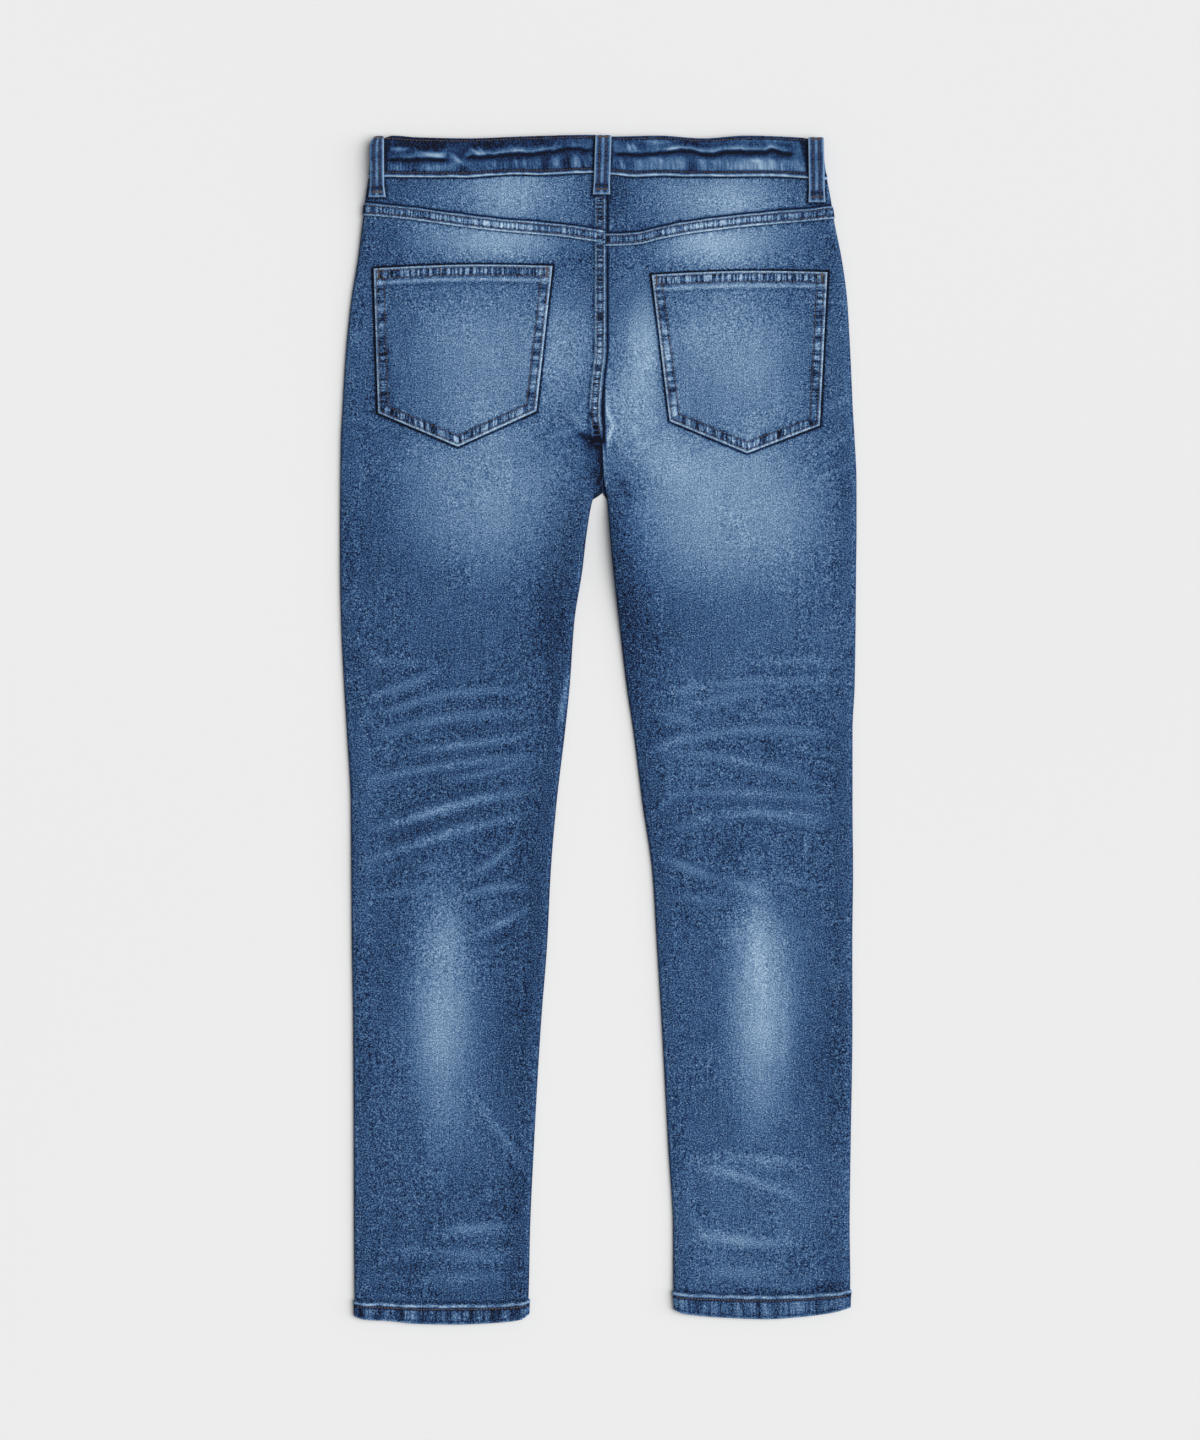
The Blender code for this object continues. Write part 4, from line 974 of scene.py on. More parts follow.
@dataclass
class Sewing:
    """The rows of stitches on one piece, joined into one mesh.

    Stitches are short bulged threads that dip into the cloth at both ends.
    """

    name: str
    material: bpy.types.Material
    facing: int = 1
    pitch: float = 2.7
    length: float = 2.1
    width: float = 0.76
    points: list = field(default_factory=list)
    faces: list = field(default_factory=list)
    made: int = 0

    SHARES = (0.0, 0.28, 0.72, 1.0)
    GIRTHS = (0.35, 1.0, 1.0, 0.35)
    LIFTS = (-0.22, 0.16, 0.16, -0.22)
    RING = 5

    def threads(self, starts: Array, ends: Array) -> None:
        """Adds a thread from each start to each end."""
        along = ends - starts
        along = along / np.linalg.norm(along, axis=1, keepdims=True)
        up = np.array([0.0, 0.0, float(self.facing)])
        side = np.cross(along, up)
        side = side / np.linalg.norm(side, axis=1, keepdims=True)
        angles = np.arange(self.RING) * math.tau / self.RING
        rings = []
        for share, girth, lift in zip(self.SHARES, self.GIRTHS, self.LIFTS):
            middle = starts + (ends - starts) * share + up * lift
            around = side[:, None] * np.cos(angles)[None, :, None] * (self.width / 2)
            around = around + up * np.sin(angles)[None, :, None] * (self.width / 2.6)
            rings.append(middle[:, None] + around * girth)
        block = np.stack(rings, axis=1).reshape(len(starts), -1, 3)
        count = block.shape[1]
        pattern = []
        for ring in range(len(self.SHARES) - 1):
            for k in range(self.RING):
                a, b = ring * self.RING + k, ring * self.RING + (k + 1) % self.RING
                pattern.append([a, b, b + self.RING, a + self.RING])
        caps = [list(range(self.RING))[::-1], list(range(count - self.RING, count))]
        for i in range(len(starts)):
            base = self.made + i * count
            self.faces += [[base + k for k in face] for face in pattern + caps]
        self.points.append(block.reshape(-1, 3))
        self.made += len(starts) * count

    def row(self, line: Array) -> None:
        """Sews a row of stitches along a line of points."""
        steps = np.linalg.norm(np.diff(line, axis=0), axis=1)
        run = np.concatenate([[0.0], np.cumsum(steps)])
        starts = np.arange(0.4, run[-1] - self.length, self.pitch)
        if len(starts) == 0:
            return
        wobble = 0.12 * mottle(starts, starts * 0, (2.0, 1.0), len(self.points) + 7)
        ends = starts + self.length * (1 + wobble)
        read = [np.stack([np.interp(s, run, line[:, k]) for k in range(3)], axis=1) for s in (starts, ends)]
        self.threads(read[0], read[1])

    def tack(self, middle: Array, along: tuple[float, float], length: float, width: float) -> None:
        """Sews a bar tack: close threads side by side across a short line.

        Args:
            middle: The tack's middle, on the face of the cloth.
            along: The direction of its line, in x and y.
            length: How long the line is.
            width: How long the threads across it are.
        """
        count = max(3, round(length / 0.62))
        offsets = (np.arange(count) / (count - 1) - 0.5) * length
        line = np.array([along[0], along[1], 0.0]) / math.hypot(*along)
        across = np.array([-line[1], line[0], 0.0]) * width / 2
        centres = middle + offsets[:, None] * line + (0.0, 0.0, 0.05 * self.facing)
        self.threads(centres - across, centres + across)

    def build(self) -> bpy.types.Object:
        """Joins the threads into one piece."""
        piece = link_mesh(self.name, np.concatenate(self.points), self.faces, self.material)
        LOG.info("%s: %d points", self.name, self.made)
        return piece


@dataclass(frozen=True)
class BackBody:
    """One half of the back of the garment: the surface that its pieces share."""

    side: Side

    @property
    def sign(self) -> int:
        """The sign of x on this side."""
        return self.side.value

    @property
    def yoke_seam(self) -> Sequence[Mark]:
        """The yoke seam's line."""
        return YOKE_SEAM_LEFT if self.side is Side.LEFT else YOKE_SEAM_RIGHT

    @property
    def hem(self) -> Sequence[Mark]:
        """The hem's lower edge."""
        return HEM_EDGES[self.side]

    @property
    def creases(self) -> Sequence[Crease]:
        """The creases on this side."""
        return CREASES_LEFT if self.side is Side.LEFT else CREASES_RIGHT

    @property
    def lapped(self) -> bool:
        """Whether this side's edge lies over the other at the centre seam."""
        return self.side is Side.LEFT

    def outer(self, drop: Array) -> Array:
        """The side seam's x."""
        return read_table(SECTIONS, "drop", f"{self.side.label}_outer", drop)

    def inner(self, drop: Array) -> Array:
        """The x of the centre seam, and of the inseam below the crotch."""
        edge = read_table(SECTIONS, "drop", f"{self.side.label}_inner", drop)
        return edge + self.sign * SEAM_GAP / 2

    def columns(self, outer_drops: Array, inner_drops: Array, step: float) -> Array:
        """Each row's x values, close together beside the edges.

        Args:
            outer_drops: The drop of each row's outer end.
            inner_drops: The drop of each row's inner end.
            step: The widest step between columns, at the hip.

        Returns:
            The x of each row and column.
        """
        outer, inner = self.outer(outer_drops), self.inner(inner_drops)
        near_outer = np.array([0.0, 0.25, 0.5, 0.8, 1.2, 1.8, 2.6, 3.5, 5.0, 7.0])
        beside_seam = [[0.0, 0.3, 0.6, 1.0, 1.5], spread(1.5, 8.4, 0.85), [8.9, 9.5, 10.4, 12.0]]
        near_inner = np.concatenate(beside_seam)
        start = outer[:, None] - self.sign * near_outer
        end = inner[:, None] + self.sign * near_inner[::-1]
        count = round((HIP_WIDTH - near_outer[-1] - near_inner[-1]) / step)
        shares = np.arange(1, count) / count
        middle = start[:, -1:] + (end[:, :1] - start[:, -1:]) * shares
        return np.concatenate([start, middle, end], axis=1)

    def insets(self, x: Array, drop: Array) -> tuple[Array, Array]:
        """How far each point is from the outer and from the inner edge."""
        return np.abs(x - self.outer(drop)), np.abs(x - self.inner(drop))

    def height(self, x: Array, drop: Array) -> Array:
        """The height of the back's face, before laps and hems are raised on it."""
        outer_inset, inner_inset = self.insets(x, drop)
        opened = eased(drop, *CROTCH_OPENS)
        lift = SEAM_LIFT * (
            bell(outer_inset - SEAM_LIFT_INSET, SEAM_LIFT_WIDTH)
            + opened * bell(inner_inset - SEAM_LIFT_INSET, SEAM_LIFT_WIDTH)
        )
        edge = read_table(LEVELS, "drop", "side_seam", drop)
        edge = edge + crotch_lift(self.side, drop) * (1 - eased(inner_inset, 0.0, 46.0))
        wave = 0.28 * mottle(x, drop, (31.0, 44.0), 5) + 0.12 * mottle(x, drop, (11.0, 15.0), 6)
        wave = wave * eased(drop, 100.0, 150.0) * (1 - eased(drop, 1030.0, 1045.0))
        rise = read_table(LEVELS, "drop", "back", drop) - read_table(LEVELS, "drop", "side_seam", drop)
        rise = rise + lift + wave + crease_sum(self.creases, x, drop, "height")
        swell = CROTCH_SWELL[self.side] * bell(drop - 385, 95) * (1 - eased(inner_inset, 5.0, 42.0))
        rise = rise + swell * opened
        inner_roll = 1 - opened * (1 - rolled(inner_inset, BACK_ROLL))
        return edge + rise * rolled(outer_inset, BACK_ROLL) * inner_roll

    def lap(self, x: Array, drop: Array) -> Array:
        """The raised lap beside the centre seam, with its puckers."""
        if not self.lapped:
            return np.zeros(x.shape)
        inset = self.insets(x, drop)[1]
        across = 1 - eased(inset, CENTRE_FELL, CENTRE_FELL + FELL_STEP)
        bars = 0.20 * ladder(drop, inset, 41) * bell(inset - 4.3, 3.6)
        return (FELL_RISE + bars) * across * (1 - eased(drop, *CENTRE_LAP_FADES))

    def wash_and_shade(self, x: Array, drop: Array) -> Array:
        """The tone of the denim's wash, with painted shade in the creases' troughs, in the dark fades and
        along the right leg's inseam, before seams and edges are worn into it.
        """
        outer_inset, inner_inset = self.insets(x, drop)
        opened = eased(drop, *CROTCH_OPENS)
        tone = read_table(GROUNDS, "drop", self.side.label, drop) - 2
        tone = tone + FADE_STRENGTH * fade_sum(FADES, x, drop) + crease_sum(self.creases, x, drop, "tone")
        # Darker towards both side edges; the deeper band along the right leg's inseam is painted shade of its
        # inner edge, which rolls away from the light.
        deep = 10 if self.lapped else 9 + 24 * bell(drop - 440, 160)
        tone = tone - 8 * bell(outer_inset, 24.0) - deep * opened * bell(inner_inset, 24.0)
        streaks = 2.6 * mottle(x, drop, (2.6, 60.0), 13)
        patches = 1.8 * mottle(x, drop, (7.0, 7.0), 11) + 4.0 * mottle(x, drop, (24.0, 30.0), 12)
        return tone + streaks + patches

    def sewn(self, tone: Array, x: Array, drop: Array) -> Array:
        """The tone with the wear of the centre seam and the side edges, and with painted shade beside the
        centre seam's lap and in the crevices.

        Args:
            tone: The tone before.
            x: Each point's x.
            drop: Each point's drop.

        Returns:
            The worn tone.
        """
        outer_inset, inner_inset = self.insets(x, drop)
        closed = 1 - eased(drop, *CENTRE_WEAR_AND_SHADE_FADES)
        opened = eased(drop, *CROTCH_OPENS)
        uneven = 0.84 + 0.16 * mottle(x * 0, drop, (1.0, 5.0), 43)
        plain = tone
        if self.lapped:
            bars = ladder(drop, inner_inset, 41)
            band = (1 - eased(inner_inset, 7.2, 8.4)) * (1 - bell(inner_inset - 0.4, 1.2))
            rows = sum(bell(inner_inset - row, 1.0) for row in CENTRE_ROWS)
            tone = inked(tone + (4 + 16 * bars) * band, 34, 0.84 * rows)
            tone = inked(tone, rubbed(plain) + 22, 0.95 * uneven * crisp_line(inner_inset, 0.95))
            tone = inked(tone, rubbed(plain) + 10, 0.80 * uneven * bell(inner_inset - 8.4, 0.9))
            # Painted shadow just beyond the lap's far edge, away from the centre.
            tone = inked(tone, 36, 0.60 * bell(inner_inset - 10.3, 1.0))
        else:
            tone = inked(tone, rubbed(plain), 0.5 * uneven * bell(inner_inset, 0.8))
            # Painted shade: a black line in the seam's recess, beside the left panel's lap.
            tone = inked(tone, 16, 0.96 * crisp_line(inner_inset - CENTRE_ROWS[0], 1.15))
        tone = plain + (tone - plain) * closed
        if not self.lapped:
            folded = eased(drop, 274.0, 286.0) * (1 - eased(drop, 306.0, 324.0))
            tone = tone + 44 * folded * bell(inner_inset - 0.8, 1.2)
        # Painted shade deep in the crevices.
        tone = inked(tone, 6, crevice_share(CREVICES[self.side], x, drop))
        rim = -26 * bell(outer_inset, 0.9) + 7 * bell(outer_inset - 3.2, 1.6)
        cut = -24 * bell(inner_inset, 0.9) + 9 * bell(inner_inset - 2.8, 1.5)
        return tone + rim + cut * opened

    def dark_lines(self, x: Array, drop: Array) -> Array:
        """How deep each point is in a crevice or in the dark of the centre seam."""
        seam = crisp_line(self.insets(x, drop)[1] - CENTRE_ROWS[0], 1.15)
        seam = seam * (1 - eased(drop, *CENTRE_WEAR_AND_SHADE_FADES))
        share = crevice_share(CREVICES[self.side], x, drop)
        return share if self.lapped else np.maximum(share, seam)

    def points(self, x: Array, drop: Array, rise: Array) -> tuple[Array, Array]:
        """The shown and the hidden grid of a piece of the back.

        Args:
            x: The x of each row and column.
            drop: The drop of each row and column.
            rise: How far the shown side is raised over the plain surface.

        Returns:
            The shown side's points and the hidden side's points.
        """
        plain = place(x, drop, self.height(x, drop))
        normals = face_normals(plain, 1)
        opened = eased(drop, *CROTCH_OPENS)
        turn_rim(normals, 0, np.ones(len(x)), self.sign)
        turn_rim(normals, -1, opened[:, -1], -self.sign)
        shown = plain + normals * rise[..., None]
        outer_inset, inner_inset = self.insets(x, drop)
        narrow = np.clip(1 - outer_inset / NARROWED, 0, 1)
        narrow = narrow - opened * np.clip(1 - inner_inset / NARROWED, 0, 1)
        edge = read_table(LEVELS, "drop", "side_seam", drop)
        edge = edge + crotch_lift(self.side, drop) * (inner_inset < NARROWED)
        under = np.maximum(plain[..., 2] - CLOTH, edge)
        return shown, place(x - self.sign * CLOTH * narrow, drop, under)


class HemBlock(NamedTuple):
    """A block of a hem that the stitching draws in, which stays dark."""

    x: float
    half: float
    depth: float


HEM_BLOCKS = {
    Side.LEFT: (
        HemBlock(-214, 3.0, 1.0), HemBlock(-197.8, 3.4, 1.4), HemBlock(-178.6, 3.6, 1.3),
        HemBlock(-158.6, 4.6, 1.3), HemBlock(-148, 2.2, 0.8), HemBlock(-134, 4.6, 1.0),
        HemBlock(-114.4, 3.2, 1.3), HemBlock(-92.5, 5.4, 1.7), HemBlock(-73.6, 3.2, 1.3),
    ),
    Side.RIGHT: (
        HemBlock(71.7, 2.6, 0.8), HemBlock(89, 4.2, 0.9), HemBlock(99.6, 2.0, 0.9), HemBlock(110.5, 4.2, 1.2),
        HemBlock(122.5, 2.4, 0.8), HemBlock(129.3, 2.0, 0.9), HemBlock(144.3, 3.2, 1.4),
        HemBlock(159, 3.8, 1.5), HemBlock(172.5, 2.2, 0.6), HemBlock(187, 3.0, 0.8), HemBlock(198, 7.4, 1.5),
    ),
}


@dataclass
class BackLeg:
    """A back leg, from the yoke seam down to its hem."""

    body: BackBody
    finishes: Wardrobe
    row_zones: tuple = (
        (83.6, 0.5), (310.0, 1.55), (460.0, 3.6), (730.0, 2.5), (930.0, 3.8), (1044.0, 2.6), (1066.0, 0.95),
    )
    column_step: float = 2.75

    @property
    def hem_depth(self) -> float:
        """How deep this leg's hem is."""
        return HEM_DEPTHS[self.body.side]

    def hem_top(self, x: Array) -> Array:
        """How far the hem's fold is over its edge: straighter than the edge is."""
        marks = self.body.hem
        lowest = max(mark.drop for mark in marks)
        return self.hem_depth - 0.45 * (lowest - mark_drop(marks, x))

    def drops(self, x: Array, base: Array) -> Array:
        """The drops of points of the rows at base, which follow the yoke seam at the
        top and the hem at the foot."""
        near_yoke = 1 - eased(base, LEG_TOP, CENTRE_STRAIGHT_END)
        near_hem = eased(base, HEM_SHAPES_FROM, HEM_END)
        drop = base + near_yoke * (mark_drop(self.body.yoke_seam, x) + SEAM_GAP / 2 - LEG_TOP)
        return drop + near_hem * (mark_drop(self.body.hem, x) - HEM_END)

    def hem_bars(self, x: Array, above: Array) -> Array:
        """The hem's puckers: hollow blocks where the cloth is drawn in, and finer bars."""
        fine = 0.30 * ladder(x, above, 61 + self.body.sign, 6.0)
        hollows = sum(block.depth * bell(x - block.x, block.half) for block in HEM_BLOCKS[self.body.side])
        return np.clip(0.46 + fine - hollows, -1.0, 1.0)

    def rise(self, x: Array, base: Array, drop: Array) -> Array:
        """How far the face is raised by the centre lap, the hem and their puckers."""
        above = HEM_END - base
        top = self.hem_top(x)
        hem = 1 - eased(above - top, 0.0, FELL_STEP)
        bars = self.hem_bars(x, above)
        rise = self.body.lap(x, drop) + HEM_RISE * hem
        rise = rise + 0.34 * bars * hem * bell(above - 7.5, 7.0)
        rise = rise + (0.35 + 0.25 * bars) * bell(above - top + 1.4, 1.5)
        return rise - worn_edge(base - LEG_TOP) - worn_edge(above)

    def tone(self, x: Array, base: Array, drop: Array) -> Array:
        """The tone, with the seams' and the hem's wear, and painted shade round the pocket, above the hem's
        fold and under the yoke's lap.
        """
        above = HEM_END - base
        below = base - LEG_TOP
        body = self.body
        bars = self.hem_bars(x, above)
        top = self.hem_top(x)
        band = 1 - eased(above - top, -3.2, -2.4)
        tone = body.sewn(body.wash_and_shade(x, drop), x, drop)
        # Painted shade round the outside of the pocket.
        tone = tone - 12 * bell(PatchPocket.reach(body.side, x, drop) + 2.0, 3.0)
        tone = tone + (HEM_TONES[body.side] + 42 * bars) * band
        sway = 0.6 * mottle(x, above * 0, (7.0, 1.0), 63)
        tone = inked(tone, 20, 0.94 * crisp_line(above - top + HEM_STITCH, 1.35))
        tone = inked(tone, 166 + 26 * bars, (0.78 + 0.22 * bars) * crisp_line(above - top + 1.3 + sway, 1.2))
        # Painted shadow above the hem's folded ridge.
        tone = inked(tone, 34, 0.80 * bell(above - top - 1.9 + sway, 1.5))
        uneven = 0.8 + 0.2 * mottle(x, above * 0, (8.0, 1.0), 65)
        tone = inked(tone, 34, 0.70 * bell(above - 2.9, 1.1) * uneven)
        tone = inked(tone, 122 + 24 * bars, 0.85 * bell(above - 0.5, 1.0))
        # Painted shade just under the yoke's lap.
        tone = inked(tone, 30, 0.50 * bell(below - 0.4, 0.9))
        return tone + 12 * ladder(x, below, 71) * bell(below - 2.6, 3.0)

    def marks(self, x: Array, base: Array, drop: Array) -> dict[str, Array]:
        """How strong the puckers are, and how near the pocket's rim is."""
        above = HEM_END - base
        inset = self.body.insets(x, drop)[1]
        lap = eased(inset, 1.0, 2.2) * (1 - eased(inset, 6.6, 8.2)) * (1 - eased(drop, 268.0, 286.0))
        near = np.clip(PatchPocket.reach(self.body.side, x, drop), -RIM_OFFSET, RIM_OFFSET)
        stitched = crisp_line(above - self.hem_top(x) + HEM_STITCH, 1.35)
        return {
            "ribs_across": 0.46 * eased(above, 2.0, 4.0) * (1 - eased(above - self.hem_top(x), -6.0, -4.8)),
            "ribs_down": lap * self.body.lapped,
            "rim": RIM_OFFSET + near,
            "smooth": 1.8 * self.body.dark_lines(x, drop) + 1.2 * stitched,
        }

    def surface(self, x: Array, base: Array) -> Array:
        """Points on the face of the cloth, for the sewing."""
        x, base = np.broadcast_arrays(np.asarray(x, float), np.asarray(base, float))
        drop = self.drops(x, base)
        return place(x, drop, self.body.height(x, drop) + self.rise(x, base, drop))

    def sew(self) -> list[bpy.types.Object]:
        """Sews the centre seam, where this side is lapped, and the hem."""
        body = self.body
        hem = Sewing(f"hem_sewing_back_{body.side.label}", self.finishes.gold)
        edges = [float(body.outer(HEM_SIDES_DROP)), float(body.inner(HEM_SIDES_DROP))]
        x = np.linspace(min(edges) + 1.5, max(edges) - 1.5, 240)
        stitched = HEM_END - self.hem_top(x) + HEM_STITCH
        hem.row(self.surface(x, stitched + 0.25 * mottle(x, x * 0, (9.0, 1.0), 3)))
        pieces = [hem.build()]
        if body.lapped:
            seam = Sewing("centre_seam_sewing", self.finishes.rust)
            for inset, foot in zip(CENTRE_ROWS, (272.0, 262.0)):
                base = np.linspace(LEG_TOP + 1.0, foot, 420)
                seam.row(self.surface(body.inner(base) + body.sign * inset, base))
            pieces.append(seam.build())
        return pieces

    def build(self) -> bpy.types.Object:
        """Builds the leg with its sewing."""
        body = self.body
        base = np.array([LEG_TOP, LEG_TOP + 0.2, LEG_TOP + 0.5])
        for end, step in self.row_zones:
            base = np.concatenate([base, spread(base[-1], end, step)])
        base = np.concatenate([base[:-1], [HEM_END - 0.4, HEM_END]])
        near_yoke = 1 - eased(base, LEG_TOP, CENTRE_STRAIGHT_END)
        x = body.columns(base + near_yoke * (YOKE_SIDE_DROP - LEG_TOP), base, self.column_step)
        rows = base[:, None]
        drop = self.drops(x, rows)
        shown, hidden = body.points(x, drop, self.rise(x, rows, drop))
        tone = self.tone(x, rows, drop)
        name = f"denim_back_leg_{body.side.label}"
        marks = self.marks(x, rows, drop)
        piece = cloth_wall(name, shown, hidden, tone, self.finishes.denim, marks=marks)
        area = strip_area(np.abs(x[:, 0] - x[:, -1]), drop.mean(axis=1))
        declare_cloth(f"back_leg_{body.side.label}", self.sew())
        return piece


@dataclass
class Yoke:
    """One half of the back yoke, with the lapped seam along its lower edge."""

    body: BackBody
    finishes: Wardrobe
    column_step: float = 0.98
    stitch_rows: tuple[float, float] = (2.6, 8.9)
    pucker_pitch: float = 3.8
    nominal: float = 40.0

    def lines(self, x: Array, share: Array) -> Array:
        """The drops between the waist seam, at share 0, and the yoke seam, at 1."""
        upper = mark_drop(WAIST_SEAM, x) + SEAM_GAP / 2
        lower = mark_drop(self.body.yoke_seam, x) - SEAM_GAP / 2
        return upper + (lower - upper) * share

    def rise(self, x: Array, drop: Array) -> Array:
        """How far the face is raised by the laps and their puckers."""
        above = self.lines(x, 1.0) - drop
        below = drop - self.lines(x, 0.0)
        band = 1 - eased(above, YOKE_FELL, YOKE_FELL + FELL_STEP)
        bars = ladder(x, above, 81 + self.body.sign, self.pucker_pitch)
        lap = (FELL_RISE + 0.20 * bars * bell(above - 5.4, 4.2)) * band
        return np.maximum(lap, self.body.lap(x, drop)) - worn_edge(above) - worn_edge(below)

    def tone(self, x: Array, drop: Array) -> Array:
        """The tone, with the seams' wear, and painted shadow above the lap, under the waistband's edge and
        round the belt loops.
        """
        above = self.lines(x, 1.0) - drop
        below = drop - self.lines(x, 0.0)
        band = (1 - eased(above, YOKE_FELL - 0.8, YOKE_FELL + 0.4)) * (1 - bell(above, 1.3))
        bars = ladder(x, above, 81 + self.body.sign, self.pucker_pitch)
        rows = sum(bell(above - row, 1.1) for row in self.stitch_rows)
        uneven = 0.82 + 0.18 * mottle(x, above, (5.0, 30.0), 87)
        sway = 0.35 * mottle(x, above * 0, (9.0, 1.0), 89)
        plain = self.body.wash_and_shade(x, drop)
        tone = self.body.sewn(plain, x, drop)
        tone = inked(tone + (12 + 9 * bars) * band, 28, 0.86 * rows)
        tone = inked(tone, rubbed(plain) + 20, 0.95 * uneven * crisp_line(above - 0.5, 0.9))
        fell = crisp_line(above - YOKE_FELL + 0.1 + sway, 0.8)
        tone = inked(tone, rubbed(plain) + 14, 0.92 * uneven * fell)
        # Painted shadow just above the lap's upper edge.
        tone = inked(tone, 16, 0.96 * crisp_line(above - YOKE_FELL - 1.5 + sway, 0.95))
        tone = tone + 9 * ladder(x, above, 83) * bell(above - YOKE_FELL - 5.0, 3.0)
        # Painted shadow just under the waistband's lower edge.
        tone = inked(tone, 14, 0.92 * crisp_line(below - 0.5, 0.85))
        # Painted shade round the belt loops.
        tone = inked(tone, 20, 0.90 * loop_shade(x, drop))
        return tone + 12 * ladder(x, below, 85) * bell(below - 4.0, 2.4)

    def marks(self, x: Array, drop: Array) -> dict[str, Array]:
        """How strong the puckers of both seams are."""
        above = self.lines(x, 1.0) - drop
        inset = self.body.insets(x, drop)[1]
        centre = eased(inset, 1.0, 2.2) * (1 - eased(inset, 6.6, 8.2)) * self.body.lapped
        across = eased(above, 2.0, 3.2) * (1 - eased(above, 7.8, 9.2)) * (1 - centre)
        dark = np.maximum(crisp_line(above - YOKE_FELL - 1.5, 1.0), self.body.dark_lines(x, drop))
        return {"ribs_across": 0.76 * across, "ribs_down": centre, "smooth": 1.7 * dark}

    def surface(self, x: Array, drop: Array) -> Array:
        """Points on the face of the cloth, for the sewing."""
        return place(x, drop, self.body.height(x, drop) + self.rise(x, drop))

    def sew(self) -> bpy.types.Object:
        """Sews both rows of the yoke seam, and the centre seam above it."""
        body = self.body
        sewing = Sewing(f"yoke_sewing_{body.side.label}", self.finishes.rust)
        ends = sorted([float(body.outer(YOKE_SIDE_DROP)), float(body.inner(LEG_TOP))])
        at_centre = 9.0 if body.lapped else 0.6
        shorter = (at_centre, 1.2) if body.sign > 0 else (1.2, at_centre)
        x = np.linspace(ends[0] + shorter[0], ends[1] - shorter[1], 300)
        for inset in self.stitch_rows:
            sewing.row(self.surface(x, self.lines(x, 1.0) - inset))
        if body.lapped:
            for inset in CENTRE_ROWS:
                drop = np.linspace(YOKE_TOP, float(self.lines(np.array(0.0), 1.0)), 90)
                seam_x = np.full(len(drop), float(body.inner(60.0)) - inset)
                sewing.row(self.surface(seam_x, drop))
        return sewing.build()

    def build(self) -> bpy.types.Object:
        """Builds the half yoke with its sewing."""
        body = self.body
        top = body.columns(np.array([YOKE_TOP]), np.array([YOKE_TOP]), self.column_step)
        foot = body.columns(np.array([YOKE_SIDE_DROP]), np.array([LEG_TOP]), self.column_step)
        length = self.nominal
        near_foot = [13.2, 12.4, 11.8, 11.2, 10.6, 10.0, 9.0, 8.0, 7.0, 6.0, 5.0]
        near_foot += [4.0, 3.0, 2.2, 1.6, 1.1, 0.7, 0.4, 0.0]
        shares = [0.0, 0.3, 0.7, 1.2, 1.8, 2.6, *spread(2.6, length - near_foot[0], 1.7)[:-1]]
        shares += [length - above for above in near_foot]
        share = np.array(shares)[:, None] / length
        x = top + (foot - top) * share
        drop = self.lines(x, share)
        band_start = self.lines(x, 1.0) - near_foot[0]
        plain = share < (length - near_foot[0]) / length
        upper = self.lines(x, 0.0)
        stretch = share * length / (length - near_foot[0])
        in_band = self.lines(x, 1.0) - (1 - share) * length
        drop = np.where(plain, upper + (band_start - upper) * stretch, in_band)
        shown, hidden = body.points(x, drop, self.rise(x, drop))
        name = f"denim_yoke_{body.side.label}"
        marks = self.marks(x, drop)
        piece = cloth_wall(name, shown, hidden, self.tone(x, drop), self.finishes.denim, marks=marks)
        area = strip_area(drop[-1] - drop[0], x[0])
        declare_cloth(f"yoke_{body.side.label}", [self.sew()])
        return piece


class PocketCut(NamedTuple):
    """A patch pocket: its mouth's ends, its lower corners and its point."""

    mouth_outer: Mark
    mouth_inner: Mark
    foot_outer: Mark
    foot_inner: Mark
    point: Mark


POCKETS = {
    Side.LEFT: PocketCut(
        Mark(-202.0, 120.0), Mark(-41.3, 117.7), Mark(-198.0, 249.5), Mark(-55.8, 247.9), Mark(-126.4, 279.9)
    ),
    Side.RIGHT: PocketCut(
        Mark(205.8, 123.3), Mark(47.9, 125.7), Mark(199.0, 260.7), Mark(64.0, 256.8), Mark(133.8, 285.7)
    ),
}


